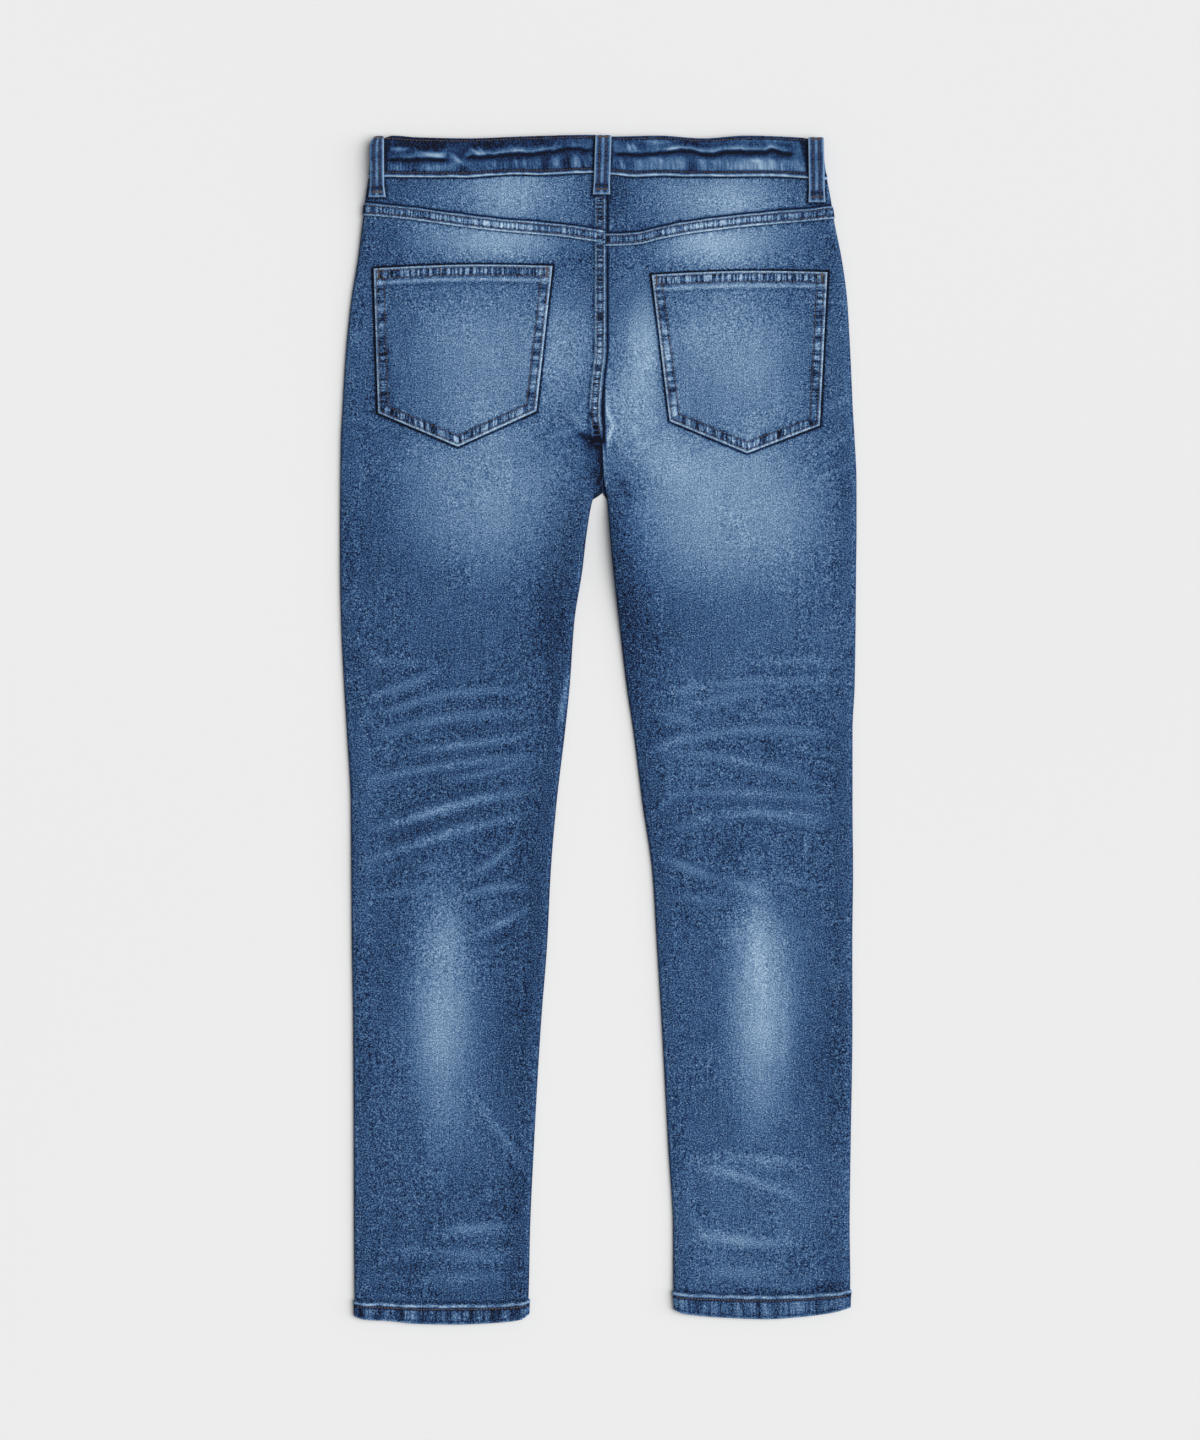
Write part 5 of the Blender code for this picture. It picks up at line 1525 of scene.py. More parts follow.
@dataclass
class PatchPocket:
    """A patch pocket on the back leg."""

    body: BackBody
    finishes: Optional[Wardrobe]
    hem: float = 10.6
    hem_rise: float = 1.0
    bow: float = 2.2
    step: float = 1.3
    outer_row: float = 2.4
    inner_row: float = 8.9
    mouth_rows: tuple[float, float] = (2.3, 9.3)

    @property
    def cut(self) -> PocketCut:
        """The pocket's corners."""
        return POCKETS[self.body.side]

    def at(self, share: Array, down: Array) -> tuple[Array, Array]:
        """The x and drop at shares of its width and of its length."""
        cut = self.cut
        tip = (cut.point.x - cut.foot_outer.x) / (cut.foot_inner.x - cut.foot_outer.x)
        mouth = cut.mouth_outer.drop + (cut.mouth_inner.drop - cut.mouth_outer.drop) * share
        mouth = mouth - self.bow * np.sin(math.pi * share)
        foot = np.interp(share, [0.0, tip, 1.0], [cut.foot_outer.drop, cut.point.drop, cut.foot_inner.drop])
        outer = cut.mouth_outer.x + (cut.foot_outer.x - cut.mouth_outer.x) * down
        inner = cut.mouth_inner.x + (cut.foot_inner.x - cut.mouth_inner.x) * down
        return outer + (inner - outer) * share, mouth + (foot - mouth) * down

    def distances(self, x: Array, drop: Array) -> dict[str, Array]:
        """How far each point is inside each edge: mouth, outer, inner, foot halves."""
        cut = self.cut
        corners = {
            "outer": (cut.mouth_outer, cut.foot_outer), "inner": (cut.mouth_inner, cut.foot_inner),
            "foot_outer": (cut.foot_outer, cut.point), "foot_inner": (cut.foot_inner, cut.point),
        }
        middle = Mark(cut.point.x, (cut.mouth_outer.drop + cut.point.drop) / 2)
        found = {}
        for name, (start, end) in corners.items():
            length = math.hypot(end.x - start.x, end.drop - start.drop)
            normal = ((end.drop - start.drop) / length, -(end.x - start.x) / length)
            inward = (middle.x - start.x) * normal[0] + (middle.drop - start.drop) * normal[1]
            turn = math.copysign(1.0, inward)
            found[name] = turn * ((x - start.x) * normal[0] + (drop - start.drop) * normal[1])
        share = (x - cut.mouth_outer.x) / (cut.mouth_inner.x - cut.mouth_outer.x)
        found["mouth"] = drop - self.at(np.clip(share, 0.0, 1.0), np.zeros(np.shape(x)))[1]
        return found

    @staticmethod
    def reach(side: Side, x: Array, drop: Array) -> Array:
        """How far each point of the leg is inside the pocket's edge."""
        far = PatchPocket(BackBody(side), None).distances(x, drop)
        return np.minimum.reduce(list(far.values()))

    def nearest(self, x: Array, drop: Array) -> tuple[Array, Array, Array]:
        """How far each point is from the sides, from the foot and below the mouth."""
        far = self.distances(x, drop)
        sides = np.minimum(far["outer"], far["inner"])
        return sides, np.minimum(far["foot_outer"], far["foot_inner"]), far["mouth"]

    def patterns(self, x: Array, drop: Array) -> tuple[Array, ...]:
        """The distance to the nearest sewn edge, the distance below the mouth, and
        the puckers along the sides and along the mouth."""
        sides, foot, mouth = self.nearest(x, drop)
        seed = 101 + self.body.sign
        along = np.where(foot < sides, ladder(x, foot, seed), ladder(drop, sides, seed + 4, 7.2))
        return np.minimum(sides, foot), mouth, along, ladder(x, mouth, seed + 8)

    def rise(self, x: Array, drop: Array) -> Array:
        """How far the face is raised over the back leg's."""
        edge, mouth, along, bars = self.patterns(x, drop)
        hem = 1 - eased(mouth, self.hem, self.hem + FELL_STEP)
        rise = CLOTH + LAY_GAP + (self.hem_rise + 0.16 * bars * bell(mouth - 5.2, 4.0)) * hem
        rise = rise + 0.26 * along * bell(edge - 5.2, 4.6) * (1 - hem)
        rise = rise + 0.28 * bell(edge - 5.0, 3.6) * (1 - hem) + 0.40 * bell(mouth - 13.6, 2.2)
        return rise - worn_edge(edge) - worn_edge(mouth)

    def tone(self, x: Array, drop: Array) -> Array:
        """The tone, with the wear of its edges and rows, and a painted shadow under the mouth's ridge."""
        edge, mouth, along, bars = self.patterns(x, drop)
        far_outer = self.distances(x, drop)["outer"]
        hem = 1 - eased(mouth, self.hem - 0.6, self.hem + 0.6)
        band = (1 - eased(edge, 8.0, 13.0)) * (1 - hem)
        inside = 1 - bell(edge, 1.4)
        rows = (bell(edge - self.outer_row, 0.9) + bell(edge - self.inner_row, 1.0)) * (1 - hem)
        rows = rows + sum(bell(mouth - row, 0.95) for row in self.mouth_rows) * inside
        uneven = 0.84 + 0.16 * along
        plain = self.body.wash_and_shade(x, drop)
        deep = 14 * (self.body.side is Side.LEFT) * bell(drop - 205, 42) * (1 - eased(far_outer, 12.0, 17.0))
        tone = plain + (-10 + 40 * along) * band * inside + (2 + 20 * bars) * hem * inside - deep
        tone = inked(tone, 36, 0.80 * rows)
        tone = inked(tone, rubbed(plain) + 20, 0.95 * uneven * crisp_line(edge - 0.6, 0.95))
        tone = inked(tone, rubbed(plain) + 10, 0.90 * crisp_line(mouth - 0.6, 0.85))
        tone = inked(tone, rubbed(plain) + 8, 0.84 * (0.86 + 0.14 * bars) * bell(mouth - 13.2, 1.6) * inside)
        # Painted shadow under the mouth's ridge.
        return inked(tone, 52, 0.62 * (0.8 + 0.2 * bars) * bell(mouth - 16.4, 1.3) * inside)

    def marks(self, x: Array, drop: Array) -> dict[str, Array]:
        """How strong the puckers along the mouth, the foot and the sides are."""
        sides, foot, inside = self.nearest(x, drop)
        mouth = eased(inside, 1.8, 3.0) * (1 - eased(inside, 8.4, 9.6)) * eased(sides, 1.6, 3.0)
        lower = eased(inside, 10.0, 12.0)
        along_foot = eased(foot, 1.4, 2.6) * (1 - eased(foot, 7.4, 10.5)) * (foot < sides) * lower
        along_sides = eased(sides, 1.4, 2.6) * (1 - eased(sides, 7.4, 12.0)) * (foot >= sides) * lower
        return {"ribs_across": mouth + 0.85 * along_foot, "ribs_down": 0.6 * along_sides}

    def surface(self, x: Array, drop: Array) -> Array:
        """Points on the face of the cloth, for the sewing."""
        return place(x, drop, self.body.height(x, drop) + self.rise(x, drop))

    def inset_line(self, inset: float) -> Array:
        """The corners of the row that runs this far inside the sides and the foot."""
        cut = self.cut
        middle = cut.point.x
        outer = self.body.sign
        path = [
            (cut.mouth_outer.x - outer * inset, cut.mouth_outer.drop + 1.2),
            (cut.foot_outer.x - outer * inset, cut.foot_outer.drop - 0.62 * inset),
            (middle, cut.point.drop - 1.10 * inset),
            (cut.foot_inner.x + outer * inset, cut.foot_inner.drop - 0.62 * inset),
            (cut.mouth_inner.x + outer * inset, cut.mouth_inner.drop + 1.2),
        ]
        corners = np.array(path, float)
        run = np.concatenate([[0.0], np.cumsum(np.hypot(*np.diff(corners, axis=0).T))])
        along = np.linspace(0.0, run[-1], 700)
        x, drop = (np.interp(along, run, corners[:, k]) for k in (0, 1))
        return self.surface(x, drop)

    def sew(self) -> bpy.types.Object:
        """Sews the mouth, the double rows round the pocket and the tacks."""
        sewing = Sewing(f"pocket_sewing_{self.body.side.label}", self.finishes.rust)
        share = np.linspace(0.012, 0.988, 260)
        for inset in self.mouth_rows:
            x, drop = self.at(share, np.zeros(len(share)))
            sewing.row(self.surface(x, drop + inset))
        for inset in (self.outer_row, self.inner_row):
            sewing.row(self.inset_line(inset))
        for share_x in (0.03, 0.97):
            x, drop = self.at(np.array(share_x), np.array(0.0))
            sewing.tack(self.surface(x, drop + 5.0), (0.0, 1.0), 8.0, 1.6)
        if self.body.side is Side.LEFT:
            sewing.tack(self.surface(np.array(-142.0), np.array(122.6)), (0.0, 1.0), 7.5, 1.2)
        return sewing.build()

    def build(self) -> bpy.types.Object:
        """Builds the pocket with its sewing."""
        width = abs(self.cut.mouth_inner.x - self.cut.mouth_outer.x)
        near = np.array([0.0, 0.25, 0.6, 1.0, 1.6])
        across = np.concatenate([near, spread(1.6, width - 1.6, self.step), width - near[:-1][::-1]]) / width
        length = self.cut.foot_outer.drop - self.cut.mouth_outer.drop + 14.0
        down = np.concatenate([near, spread(1.6, length - 1.6, self.step), length - near[:-1][::-1]]) / length
        share, reach = np.broadcast_arrays(across[None, :], down[:, None])
        x, drop = self.at(share, reach)
        plain = place(x, drop, self.body.height(x, drop))
        normals = face_normals(plain, 1)
        shown = plain + normals * self.rise(x, drop)[..., None]
        hidden = plain + normals * LAY_GAP
        name = f"denim_back_pocket_{self.body.side.label}"
        marks = self.marks(x, drop)
        piece = cloth_wall(name, shown, hidden, self.tone(x, drop), self.finishes.denim, marks=marks)
        area = strip_area(np.abs(x[:, 0] - x[:, -1]), drop.mean(axis=1))
        node = f"back_pocket_{self.body.side.label}"
        declare_cloth(node, [self.sew()])
        return piece


FRONT_CREASES = (
    Crease(40, 268, 150, 232, -4, 8.0, 0.6, 10), Crease(36, 300, 170, 262, -5, 8.0, 0.7, 12),
    Crease(48, 336, 150, 318, -4, 8.0, 0.5, 8), Crease(70, 560, 190, 572, 5, 8.0, 0.6, 10),
    Crease(66, 590, 180, 586, 4, 8.0, 0.7, 12), Crease(72, 628, 196, 640, 5, 8.0, 0.6, 9),
    Crease(84, 940, 200, 932, 3, 8.0, 0.5, 8), Crease(92, 984, 190, 990, 3, 8.0, 0.6, 9),
)
FRONT_FADES = (Fade(118, 330, 48, 150, 50, 1.3), Fade(130, 600, 50, 70, 26), Fade(20, 150, 20, 60, -8))


@dataclass
class FrontLeg:
    """A front leg, whose shown side is the flat underside."""

    side: Side
    finishes: Wardrobe
    centre_x: float = FRONT_CENTRE_X
    band_depth: float = 34.5
    hem_reach: tuple[float, float] = (70.0, 76.0)
    fly_width: float = 36.0
    fly_end: float = 196.0
    mouth_half: float = 96.0
    mouth_end: float = 118.0
    crotch_shade: float = 24.0
    lifted: float = 20.0
    row_gap: float = 6.0
    row_rise: float = 0.12
    hem_row: float = 13.0
    turns: int = 120
    row_zones: tuple[tuple[float, float], ...] = (
        (100.0, 3.0), (300.0, 5.0), (355.0, 3.0), (1040.0, 5.0), (1066.0, 1.7)
    )
    middle_columns: int = 44

    def inner(self, drop: Array) -> Array:
        """The centre front down to the crotch, then the inseam."""
        centre = self.side.value * SEAM_GAP / 2 + self.centre_x
        inseam = read_table(SECTIONS, "drop", f"{self.side.label}_inner", drop)
        return centre + (inseam - centre) * eased(drop, *FRONT_CROTCH)

    def side_level(self, x: Array, drop: Array, inner: Array) -> Array:
        """The height of the side seams, which stands up beside the crotch."""
        level = read_table(LEVELS, "drop", "side_seam", drop) - SIDE_GAP
        return level + crotch_lift(self.side, drop) * (np.abs(x - inner) < self.lifted)

    def points(self, x: Array, drop: Array, outer: Array, inner: Array) -> Array:
        """Points of the underside, lifted a little where it is creased."""
        flat = read_table(LEVELS, "drop", "front", drop)
        edge = self.side_level(x, drop, inner)
        roll = rolled(np.abs(x - outer), FRONT_ROLL)
        opened = eased(drop, *FRONT_CROTCH_OPENS)
        roll = roll * (1 - opened * (1 - rolled(np.abs(x - inner), FRONT_ROLL)))
        dent = crease_sum(FRONT_CREASES, x * self.side.value, drop, "height")
        return place(x, drop, edge + (flat + np.clip(dent, 0, 0.8) - edge) * roll)

    def tone(self, x: Array, drop: Array, above: Array) -> Array:
        """The tone of the underside, with the hem's and the creases' wear."""
        mirrored = x * self.side.value
        bars = ladder(x, above, 161 + self.side.value, 7.5)
        tone = read_table(GROUNDS, "drop", self.side.label, drop) + fade_sum(FRONT_FADES, mirrored, drop)
        tone = tone + crease_sum(FRONT_CREASES, mirrored, drop, "tone") + 3 * mottle(x, drop, (9.0, 9.0), 21)
        tone = tone + 22 * bars * (1 - eased(above, HEM_DEPTH - 4, HEM_DEPTH - 3))
        return tone + (32 + 16 * bars) * bell(above - HEM_DEPTH + 1.2, 1.5)

    def sew(self) -> bpy.types.Object:
        """Sews the hem, the pocket mouth's two rows and, on the left, the fly."""
        sewing = Sewing(f"front_sewing_{self.side.label}", self.finishes.gold, facing=-1)
        sign = self.side.value
        hem = HEM_EDGES[self.side]
        x = np.linspace(74.0, 214.0, 200) * sign
        sewing.row(place(x, mark_drop(hem, x) - self.hem_row, self.row_rise))
        turn = np.linspace(0.0, 1.0, self.turns)
        for inset in (0.0, self.row_gap):
            reach = self.mouth_half + inset
            x = sign * (211.0 - reach * np.cos(turn * math.pi / 2))
            drop = 52.0 + (self.mouth_end + inset - 22.0) * np.sin(turn * math.pi / 2)
            keep = np.abs(x) < np.abs(read_table(SECTIONS, "drop", f"{self.side.label}_outer", drop)) - 4.0
            level = read_table(LEVELS, "drop", "front", drop)
            sewing.row(place(x, drop, level + self.row_rise)[keep])
        if self.side is Side.LEFT:
            for inset in (0.0, self.row_gap):
                half = self.fly_width - inset
                down = np.linspace(50.0, self.fly_end - half - inset, self.turns)
                line_x = np.concatenate([np.full(self.turns, -half), -half * np.cos(turn * math.pi / 2)])
                line_drop = np.concatenate([down, down[-1] + half * 0.9 * np.sin(turn * math.pi / 2)])
                level = read_table(LEVELS, "drop", "front", line_drop)
                sewing.row(place(line_x + self.centre_x, line_drop, level + self.row_rise))
        return sewing.build()

    def build(self) -> bpy.types.Object:
        """Builds the front leg with its sewing."""
        base = np.array([FRONT_TOP])
        for end, step in self.row_zones:
            base = np.concatenate([base, spread(base[-1], end, step)])
        rows = base[:, None]
        near_waist = 1 - eased(rows, FRONT_TOP, FRONT_ROWS_LEVEL)
        outer_drop = rows + near_waist * (YOKE_TOP - FRONT_TOP)
        outer = read_table(SECTIONS, "drop", f"{self.side.label}_outer", outer_drop)
        inner = self.inner(rows)
        toward = np.sign(inner - outer)
        near = np.array([0.0, 0.3, 0.8, 1.5, 3.0, 5.0])
        start = outer + toward * near
        end = inner - toward * near[::-1]
        shares = np.arange(1, self.middle_columns) / self.middle_columns
        x = np.concatenate([start, start[:, -1:] + (end[:, :1] - start[:, -1:]) * shares, end], axis=1)
        waist = front_waist_edge(x) + self.band_depth + SEAM_GAP / 2
        drop = rows + near_waist * (waist - FRONT_TOP)
        hem = HEM_EDGES[self.side]
        drop = drop + eased(rows, HEM_SHAPES_FROM, HEM_END) * (mark_drop(hem, x) - HEM_END)
        plain = self.points(x, drop, outer, inner)
        above = HEM_END - rows
        band = 1 - eased(above, HEM_DEPTH, HEM_DEPTH + FELL_STEP)
        inside = 1 - eased(np.abs(x - (outer + inner) / 2), *self.hem_reach)
        opened = eased(rows, *FRONT_CROTCH_OPENS)
        narrow = np.clip(1 - np.abs(x - outer) / NARROWED, 0, 1)
        narrow = narrow - opened * np.clip(1 - np.abs(x - inner) / NARROWED, 0, 1)
        edge = self.side_level(x, drop, inner)
        over = np.minimum(plain[..., 2] + CLOTH, np.maximum(edge, plain[..., 2] + 0.2))
        over = np.where(np.abs(narrow) > 0, over, plain[..., 2] + CLOTH) + HEM_RISE * band * inside
        hidden = place(x + toward * CLOTH * np.abs(narrow) * np.where(narrow < 0, -1, 1), drop, over)
        name = f"denim_front_leg_{self.side.label}"
        tone = self.tone(x, drop, above * np.ones(x.shape))
        away = np.hypot((x - self.centre_x) / self.crotch_shade, (drop - FRONT_CROTCH[0]) / self.crotch_shade)
        # Painted shade: the hidden side darkens towards the crotch, where it shows between the legs.
        inside = INSIDE_TONE - 76 * bell(away, 1.0)
        piece = cloth_wall(name, plain, hidden, tone, self.finishes.denim, inside)
        area = strip_area(np.abs(x[:, 0] - x[:, -1]), drop.mean(axis=1))
        declare_cloth(f"front_leg_{self.side.label}", [self.sew()])
        return piece


def front_waist_edge(x: Array) -> Array:
    """The drop of the waistband's upper edge on the front, which falls to the centre."""
    return FRONT_SIDE_DROP + FRONT_DIP * (1 - np.abs(x - FRONT_CENTRE_X) / WAIST_HALF)


@dataclass
class Waistband:
    """The waistband: a flattened ring that laps at the centre front."""

    finishes: Wardrobe
    wall: float = 1.8
    underside: float = 2.1
    top: float = 8.1
    depth: float = 34.5
    stated_depth: float = 36.0
    front_runs: tuple[tuple[float, float], ...] = ((-200.0, 16.0), (32.0, 200.0))
    front_rows: tuple[float, float] = (0.08, 0.92)
    lap_outer: float = 18.0
    lap_inner: float = -22.0
    lap_lift: float = 2.1
    step: float = 1.2
    row_step: float = 0.78
    head_row: float = 2.3
    foot_row: float = 3.9

    def path(self) -> Array:
        """The ring's outer side as points of x and height, from the end that laps
        underneath, round the left side, over the back and round the right side."""
        radius = (self.top - self.underside) / 2
        middle = (self.top + self.underside) / 2
        left, right = (float(BackBody(side).outer(YOKE_TOP)) for side in Side)
        turns = np.radians(np.linspace(-90, 90, 15))
        raised = self.underside + self.lap_lift
        front_left = np.linspace(self.lap_outer, left + radius + 4, 44)
        front_right = np.linspace(right - radius - 4, 32.0, 38)
        back = np.arange(left + radius + self.step, right - radius - 0.5, self.step)
        path = [(x, self.underside) for x in front_left]
        path += [(left + radius * (1 - math.cos(a)), middle + radius * math.sin(a)) for a in turns]
        path += [(x, self.top) for x in back]
        path += [(right - radius * (1 - math.cos(a)), middle + radius * math.sin(a)) for a in turns[::-1]]
        path += [(x, self.underside) for x in front_right]
        path += [(x, raised) for x in np.linspace(23.0, self.lap_inner, 10)]
        return np.array(path)

    def drops(self, x: Array, height: Array, share: Array) -> Array:
        """The drop at a share of the band's depth."""
        on_back = eased(height, self.underside + self.lap_lift, self.top)
        top = on_back * mark_drop(WAIST_EDGE, x) + (1 - on_back) * front_waist_edge(x)
        foot = on_back * (mark_drop(WAIST_SEAM, x) - SEAM_GAP / 2)
        foot = foot + (1 - on_back) * (front_waist_edge(x) + self.depth - SEAM_GAP / 2)
        return top + (foot - top) * share

    @staticmethod
    def folds(x: Array, drop: Array) -> tuple[Array, Array]:
        """How deep the long folds' troughs and how high their ridges are, from 0 to 1."""
        trough = np.zeros(np.broadcast(x, drop).shape)
        ridge = np.zeros(trough.shape)
        for fold in BAND_FOLDS:
            ends = eased(x, fold[0].x - 2, fold[0].x + 6) * (1 - eased(x, fold[-1].x - 8, fold[-1].x + 2))
            away = drop - read_table(fold, "x", "drop", x)
            strength = read_table(fold, "x", "ridge", x) * (0.85 + 0.3 * mottle(x, away, (4.0, 6.0), 131))
            sway = 0.5 * mottle(x, away * 0, (5.0, 1.0), 133)
            trough = trough + ends * crisp_line(away + sway, 1.5 + 0.35 * eased(x, 84.0, 104.0))
            ridge = ridge + ends * strength * bell(away + 3.2 + sway, 1.25)
        return trough, ridge

    def relief(self, x: Array, drop: Array, share: Array, back: Array) -> Array:
        """What the folds, puckers and worn edges add to the ring's outer side."""
        above = (1 - share) * self.depth
        below = share * self.depth
        bars = ladder(x, above, 121, 8.0)
        trough, ridge = self.folds(x, drop)
        folds = (crease_sum(CREASES_BAND, x, drop, "height") - 1.1 * trough + 0.9 * ridge) * back
        puckers = 0.30 * bars * bell(above - 8.0, 7.0) + 0.12 * ladder(x, below, 125) * bell(below - 5.0, 4.0)
        edge = 0.40 * bell(above - 1.6, 1.4)
        return folds + puckers + edge - worn_edge(above) - worn_edge(below)

    def tone(self, x: Array, drop: Array, share: Array, back: Array) -> Array:
        """The tone, with the folds' and the edges' wear, and painted shade in and under the folds' troughs
        and round the belt loops.
        """
        above = (1 - share) * self.depth
        below = share * self.depth
        bars = ladder(x, above, 121, 8.0)
        fine = ladder(x, above, 127, 4.0)
        lower = eased(below, 17.0, 22.0)
        trough, ridge = self.folds(x, drop)
        tone = 47 + 27 * eased(x, -60.0, 24.0) + 8 * mottle(x, drop, (22.0, 12.0), 123)
        tone = tone + (20 + 12 * eased(x, 70.0, 100.0) + 16 * bars + 8 * fine) * lower
        upper = 8 * bars + 9 * ladder(x, below, 125) + 8 * mottle(x, drop, (9.0, 4.0), 129)
        tone = tone + upper * (1 - lower)
        shapes = 1.9 * crease_sum(CREASES_BAND, x, drop, "tone") + 1.5 * fade_sum(BAND_FADES, x, drop)
        over_ridge = 30 * bell(below - 7.0, 3.2) * ridge.max(axis=1, keepdims=True)
        tone = tone + (shapes + 100 * ridge - over_ridge) * back
        tone = tone + 34 * self.folds(x, drop + 2.2)[1] * back
        # Painted shade: soft under each fold, nearly black in its trough, and round the belt loops.
        tone = inked(tone, 34, 0.45 * np.minimum(self.folds(x, drop - 2.6)[0], 1.0) * back)
        tone = inked(tone, 10, np.minimum(trough, 1.0) * back)
        tone = inked(tone, 16, 0.92 * loop_shade(x, drop) * back)
        sway = 0.55 * mottle(x, above * 0, (11.0, 1.0), 135)
        sewn = crisp_line(above - self.foot_row, 1.3) + crisp_line(below - self.head_row, 1.15)
        tone = inked(tone, 22, 0.92 * sewn)
        return inked(tone, 192 + 16 * bars, 0.95 * bell(above - 0.8 - sway, 0.85))

    def surface(self, x: Array, share: float) -> Array:
        """Points on the back of the band, for the sewing."""
        height = np.full(len(x), self.top)
        shares = np.full(len(x), share)
        drop = self.drops(x, height, shares)
        return place(x, drop, self.top + self.relief(x, drop, shares, np.ones(len(x))))

    def sew(self) -> bpy.types.Object:
        """Sews the rows along both edges of the back."""
        sewing = Sewing("waistband_sewing", self.finishes.rust)
        x = np.linspace(-202.0, 201.0, 600)
        for inset in (self.head_row, self.depth - self.foot_row):
            sewing.row(self.surface(x, inset / self.depth))
        return sewing.build()

    def sew_front(self) -> bpy.types.Object:
        """Sews the rows along both edges of the front, on its underside."""
        sewing = Sewing("waistband_front_sewing", self.finishes.gold, facing=-1)
        for start, end in self.front_runs:
            x = np.linspace(start, end, 300)
            for share in self.front_rows:
                sewing.row(place(x, front_waist_edge(x) + self.depth * share, self.underside))
        return sewing.build()

    def build(self) -> bpy.types.Object:
        """Builds the waistband with its sewing."""
        path = self.path()
        near = [0.0, 0.25, 0.6, 1.0, 1.6, 2.4]
        middle = spread(near[-1], self.depth - near[-1], self.row_step)[:-1]
        insets = np.concatenate([near, middle, self.depth - np.array(near)[::-1]])
        share = insets / self.depth
        x, height = path[:, :1], path[:, 1:]
        share, x, height = np.broadcast_arrays(share[None, :], x, height)
        drop = self.drops(x, height, share)
        left, right = (BackBody(side) for side in Side)
        taper = np.where(
            x < 0, left.outer(drop) / left.outer(YOKE_TOP), right.outer(drop) / right.outer(YOKE_TOP)
        )
        plain = place(x * taper, drop, height)
        along = np.gradient(path, axis=0)
        normals = np.stack([-along[:, 1], np.zeros(len(path)), along[:, 0]], axis=-1)
        normals /= np.linalg.norm(normals, axis=1, keepdims=True)
        normals = np.repeat(normals[:, None], x.shape[1], axis=1)
        back = (height > self.top - 1e-6) * 1.0
        relief = self.relief(x, drop, share, back)
        shown = plain + normals * relief[..., None]
        tone = self.tone(x, drop, share, back)
        name = "denim_waistband"
        above = (1 - share) * self.depth
        marks = {
            "ribs_across": 0.34 * eased(above, 4.6, 6.0) * (1 - eased(above, 9.0, 15.0)) * back,
            "smooth": 1 + 0.7 * self.folds(x, drop)[0] * back,
        }
        piece = cloth_wall(name, shown, plain - normals * self.wall, tone, self.finishes.denim, marks=marks)
        run = float(np.hypot(*np.diff(path, axis=0).T).sum())
        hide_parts("waistband")
        sewing = [self.sew(), self.sew_front()]
        LOG.info("%s: %.0f x %.0f mm flat", name, run, self.stated_depth)
        return piece


BAND_FADES = (
    # Above the fold.
    Fade(-165, 8, 26, 5, -10), Fade(-106, 9, 9, 4, -16), Fade(-74, 10, 24, 5, 14), Fade(-20, 8, 14, 6, 10),
    Fade(55, 8, 13, 5, 14), Fade(86, 8, 11, 4, -16), Fade(142, 6, 18, 4, 12), Fade(110, 9, 12, 4, -8),
    # Below the fold.
    Fade(-179, 29, 6, 5, 20), Fade(-167, 29, 6, 6, -18), Fade(-147, 30, 13, 5, 26), Fade(-124, 31, 7, 5, -22),
    Fade(-108, 27, 8, 5, -10), Fade(-88, 27, 11, 7, 16), Fade(-66, 26, 13, 7, 18),
    Fade(-46.5, 27, 3.6, 7, -30),
    Fade(-38, 26, 5, 8, 14), Fade(-28.6, 26, 3.2, 8, -26), Fade(-20, 25, 5, 8, 22),
    Fade(25, 27, 9, 9, -24, 1.6),
    Fade(61, 27, 21, 7, 26, 1.8), Fade(86.5, 28, 5.5, 9, -28, 1.4), Fade(106, 29, 10, 5, -12),
    Fade(126, 29, 9, 6, 26), Fade(146, 28, 16, 8, 30, 1.8), Fade(162, 29, 2.4, 8, -24),
    Fade(-196, 20, 8, 20, 8),
)


class LoopCut(NamedTuple):
    """A belt loop on the back, from its head at the waist's edge to its foot, its
    width, and how far its outer corner is rounded off at the head."""

    node: str
    head: Mark
    foot: Mark
    width: float
    corner: float


BACK_LOOPS = (
    LoopCut("belt_loop_left", Mark(-198.9, 1.2), Mark(-198.6, 56.4), 12.8, 6.6),
    LoopCut("belt_loop_centre", Mark(4.6, 0.6), Mark(2.8, 53.9), 14.6, 0.0),
    LoopCut("belt_loop_right", Mark(195.4, 2.5), Mark(196.2, 60.9), 14.2, 0.0),
)


def flare(share: Array, corner: float) -> Array:
    """How many times wider a loop is towards its foot, and more so with a cut corner."""
    return 1 + (LOOP_FLARE + CORNER_FLARE * corner) * eased(share, 0.8, 1.0)


def loop_shade(x: Array, drop: Array) -> Array:
    """How deep the cloth is in the shade close round the belt loops, from 0 to 1."""
    shade = np.zeros(np.broadcast(x, drop).shape)
    for cut in BACK_LOOPS:
        share = np.clip((drop - cut.head.drop) / (cut.foot.drop - cut.head.drop), 0.0, 1.0)
        middle = cut.head.x + (cut.foot.x - cut.head.x) * share
        width = cut.width * flare(share, cut.corner)
        beside = np.maximum(np.abs(x - middle) - width / 2, 0.0)
        away = np.hypot(beside, np.maximum(drop - cut.foot.drop, 0.0))
        shade = np.maximum(shade, bell(np.maximum(away - 0.9, 0.0), 1.1))
    return shade


LOOP_LENGTH = 54.0
LOOP_FLARE = 0.08
CORNER_FLARE = 0.02
FRONT_LOOP_X = 98.0
FRONT_LOOP_LENGTH = 44.5
LOOP_SHARES = (0.0, 0.20, 0.42, 0.62, 0.76, 0.88, 1.0)
LOOP_HEIGHTS = (8.5, 9.1, 9.6, 9.3, 9.0, 8.9, 8.7)


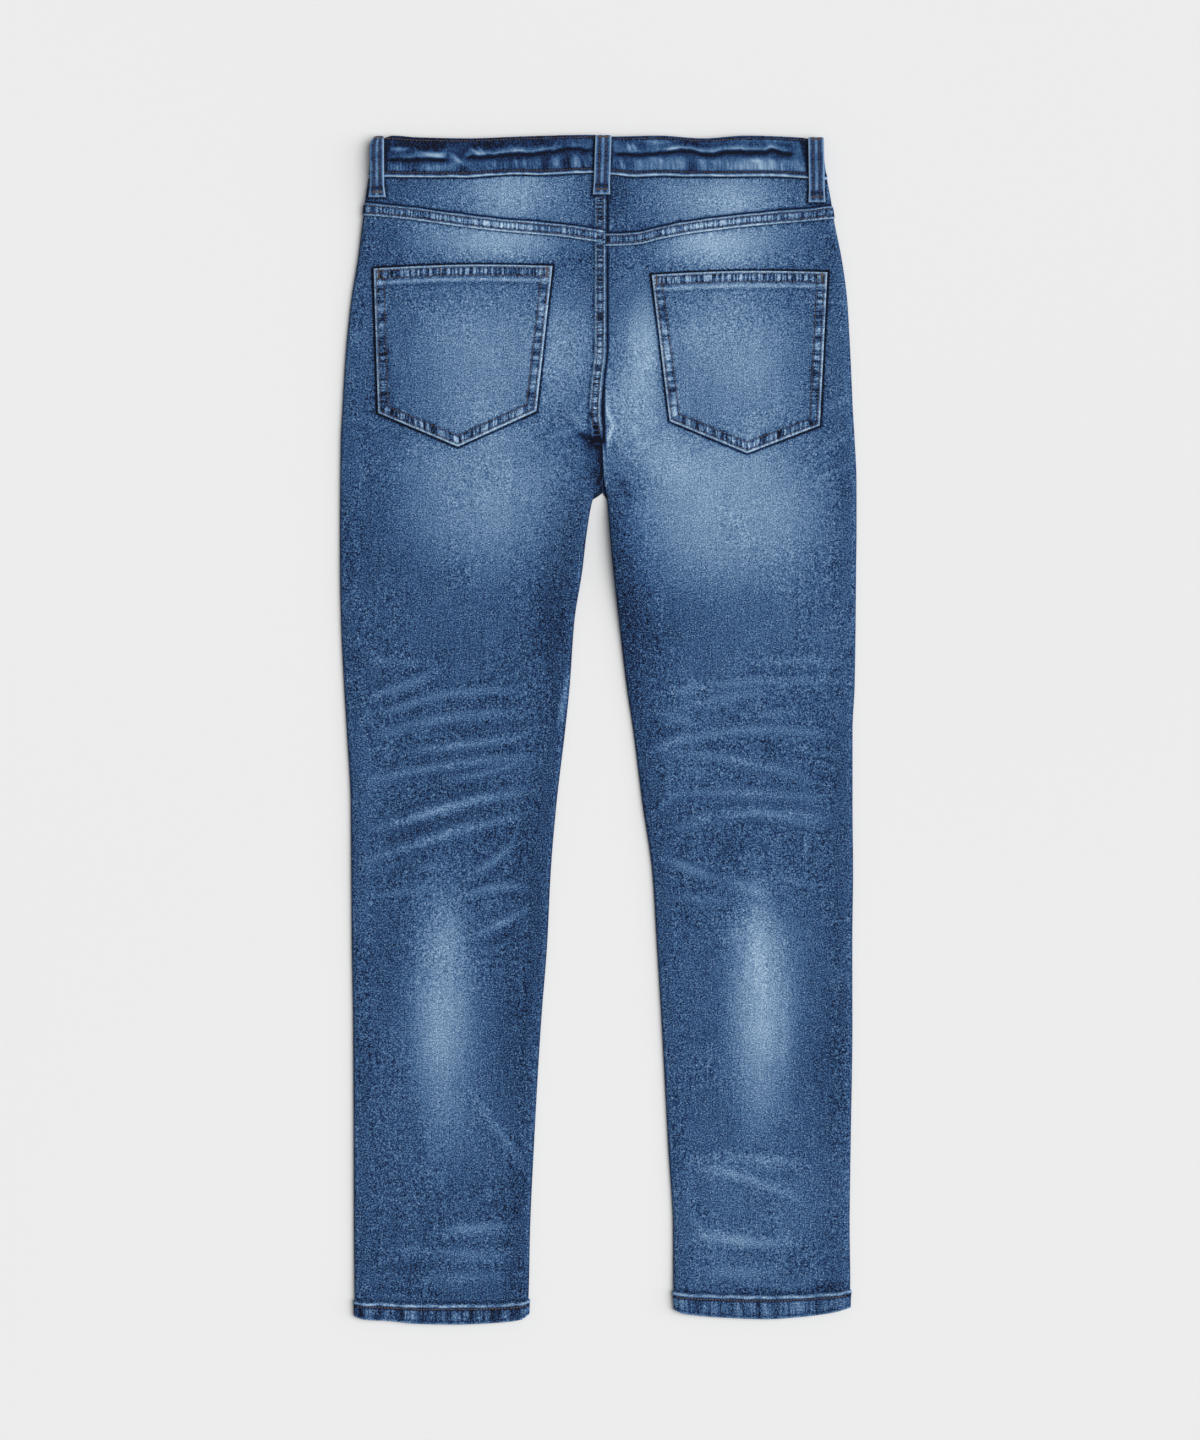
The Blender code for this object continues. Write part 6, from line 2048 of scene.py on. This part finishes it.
@dataclass
class BeltLoop:
    """A folded belt loop, arched over the waistband or flat under the front."""

    node: str
    head: Mark
    foot: Mark
    finishes: Wardrobe
    on_back: bool = True
    width: float = 15.0
    corner: float = 0.0
    wall: float = 2.0
    front_wall: float = 1.8

    def line(self, share: Array) -> tuple[Array, Array, Array, Array]:
        """The middle's x and drop, the width and the inner height along the loop."""
        x = self.head.x + (self.foot.x - self.head.x) * share
        drop = self.head.drop + (self.foot.drop - self.head.drop) * share
        if not self.on_back:
            return x, drop, np.full(np.shape(share), self.width), np.full(np.shape(share), self.front_wall)
        width = self.width * flare(share, self.corner)
        corner = self.corner * (1 - rolled(share * LOOP_LENGTH, 12.0))
        width = width - 1.6 * (1 - rolled(share * LOOP_LENGTH, 2.0)) - corner
        x = x + corner / 2
        return x, drop, width, smooth_line(LOOP_SHARES, LOOP_HEIGHTS, share)

    @staticmethod
    def row_inset(width: Array) -> Array:
        """How far each row of stitches is from the loop's middle."""
        return width * 0.2

    def at(self, share: Array, across: Array) -> tuple[Array, Array, Array]:
        """Points of the outer and the inner side, and the tone, at shares of the
        loop's length and at insets from its middle line."""
        x, drop, width, inner = self.line(share)
        length = self.foot.drop - self.head.drop
        edge = width / 2 - np.abs(across)
        end = np.minimum(share, 1 - share) * length
        seed = 141 + int(abs(self.head.x)) % 50
        bars = ladder(drop, across, seed, 6.5)
        rise = self.wall if self.on_back else self.front_wall
        relief = rise - worn_edge(edge) * 1.3 - worn_edge(end)
        if self.on_back:
            relief = relief + 0.12 * bars - 0.35 * bell(end - 6.2, 0.9) * (share > 0.5)
            outer = inner + relief
        else:
            outer = inner - relief
        rows = bell(np.abs(across) - self.row_inset(width), 1.05)
        tone = 84 + 18 * bars * bell(np.abs(across) - 4.4, 1.6) + (46 + 12 * bars) * bell(across, 1.4)
        tone = inked(tone - 26 * bell(drop - 21.0, 7.0), 26, (0.84 + 0.1 * bars) * rows)
        # Lighter rubbed edges, a little dimmer on the loop's outer side; on the left loop the outer edge is
        # dimmed further as painted shade.
        turned = np.where(across * self.head.x > 0, 0.45 + 0.4 * (self.corner == 0), 0.92)
        tone = inked(tone, 176, turned * bell(edge - 0.6, 0.85))
        foot = 1.0 * (share > 0.5)
        tone = inked(tone, 156, 0.85 * foot * bell(end - 0.8, 0.8))
        # Painted shade in the dent above the foot.
        tone = inked(tone, 22, 0.92 * foot * bell(end - 8.2, 2.0) * (edge > 1.3))
        return place(x + across, drop, outer), place(x + across, drop, inner), tone

    def sew(self) -> bpy.types.Object:
        """Sews the two rows and the tacks at the head and the foot."""
        facing = 1 if self.on_back else -1
        sewing = Sewing(f"sewing_{self.node}", self.finishes.rust, facing=facing, length=2.2)
        share = np.linspace(0.02, 0.96, 80)
        for sign in (-1.0, 1.0):
            sewing.row(self.at(share, sign * self.row_inset(self.line(share)[2]))[0])
        length = self.foot.drop - self.head.drop
        for place_share in (1.6 / length, 1 - 4.6 / length):
            middle = self.at(np.array(place_share), np.array(0.0))[0]
            sewing.tack(middle, (1.0, 0.0), self.width * 0.64, 1.7)
        return sewing.build()

    def build(self) -> bpy.types.Object:
        """Builds the loop with its sewing."""
        length = self.foot.drop - self.head.drop
        near = np.array([0.0, 0.2, 0.5, 1.0])
        share = np.concatenate([near, spread(1.0, length - 1.0, 1.1), length - near[:-1][::-1]]) / length
        half = np.concatenate([near, spread(1.0, self.width - 1.0, 0.8), self.width - near[:-1][::-1]])
        across = (half - self.width / 2)[None, :]
        grid = share[:, None] * np.ones(across.shape)
        _, _, width, _ = self.line(grid)
        shown, hidden, tone = self.at(grid, across * width / self.width)
        marks = {"smooth": np.ones(tone.shape)}
        piece = cloth_wall(f"denim_{self.node}", shown, hidden, tone, self.finishes.denim, marks=marks)
        declare_cloth(self.node, [self.sew()])
        return piece


@dataclass
class WaistButton:
    """The waist button, whose solid keeps its own shape."""

    finishes: Wardrobe
    node: str = "waist_button"

    def dress(self) -> None:
        """Gives the solid its metal."""
        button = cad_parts[self.node]
        button.data.materials.clear()
        button.data.materials.append(self.finishes.brass)
        LOG.info("%s: aged brass", self.node)


@dataclass
class Studio:
    """The pale floor, the soft light and the camera straight over the garment."""

    floor_half: float = 9000.0
    floor_drop: float = 0.45
    view_height: float = 3600.0
    lens: float = 100.0
    sensor: float = 36.0
    centre: tuple[float, float] = (1.5, 8.9)
    air: float = 0.27
    key: float = 2.30
    key_width: float = 50.0
    key_tilt: float = 30.0
    low: float = 0.93
    low_width: float = 40.0
    low_tilt: float = 66.0

    def floor(self) -> None:
        """Lays the floor."""
        half = self.floor_half * MM
        mesh = bpy.data.meshes.new("floor")
        z = -self.floor_drop * MM
        corners = [(-half, -half, z), (half, -half, z), (half, half, z), (-half, half, z)]
        mesh.from_pydata(corners, [], [(0, 1, 2, 3)])
        mesh.materials.append(FloorFinish().make())
        floor = bpy.data.objects.new("floor", mesh)
        bpy.context.scene.collection.objects.link(floor)

    def light(self) -> None:
        """Sets the even air light, a wide key light that leans to the right, and a
        weaker low light on the same side."""
        world = bpy.data.worlds.new("studio_air")
        world.use_nodes = True
        air = world.node_tree.nodes["Background"]
        air.inputs["Color"].default_value = (0.985, 0.995, 1.0, 1.0)
        air.inputs["Strength"].default_value = self.air
        bpy.context.scene.world = world
        self.lamp("key", self.key, self.key_width, self.key_tilt)
        self.lamp("low", self.low, self.low_width, self.low_tilt)

    @staticmethod
    def lamp(name: str, energy: float, width: float, tilt: float) -> None:
        """Hangs a far light on the right, tilted this many degrees from upright."""
        lamp = bpy.data.lights.new(name, "SUN")
        lamp.energy = energy
        lamp.angle = math.radians(width)
        lamp.color = (1.0, 0.995, 0.985)
        light = bpy.data.objects.new(name, lamp)
        light.rotation_euler = (0.0, math.radians(tilt), 0.0)
        bpy.context.scene.collection.objects.link(light)

    def camera(self) -> None:
        """Hangs the camera over the garment."""
        data = bpy.data.cameras.new("overhead")
        data.lens = self.lens
        data.sensor_width = self.sensor
        camera = bpy.data.objects.new("overhead", data)
        camera.location = (self.centre[0] * MM, self.centre[1] * MM, self.view_height * MM)
        bpy.context.scene.collection.objects.link(camera)
        bpy.context.scene.camera = camera
        bpy.context.scene.view_settings.view_transform = "Standard"

    def build(self) -> None:
        """Builds the studio."""
        self.floor()
        self.light()
        self.camera()


def main() -> None:
    """Builds every piece from the floor up."""
    logging.basicConfig(level=logging.INFO, format="%(name)s: %(message)s")
    Studio().build()
    finishes = Wardrobe()
    for side in Side:
        FrontLeg(side, finishes).build()
    for side in Side:
        body = BackBody(side)
        BackLeg(body, finishes).build()
        Yoke(body, finishes).build()
        PatchPocket(body, finishes).build()
    Waistband(finishes).build()
    for cut in BACK_LOOPS:
        BeltLoop(cut.node, cut.head, cut.foot, finishes, True, cut.width, cut.corner).build()
    for side in Side:
        head_drop = float(front_waist_edge(np.array(FRONT_LOOP_X))) + 1.0
        head = Mark(side.value * FRONT_LOOP_X, head_drop)
        foot = Mark(head.x, head.drop + FRONT_LOOP_LENGTH)
        BeltLoop(f"front_belt_loop_{side.label}", head, foot, finishes, on_back=False).build()
    WaistButton(finishes).dress()


if __name__ == "__main__":
    main()
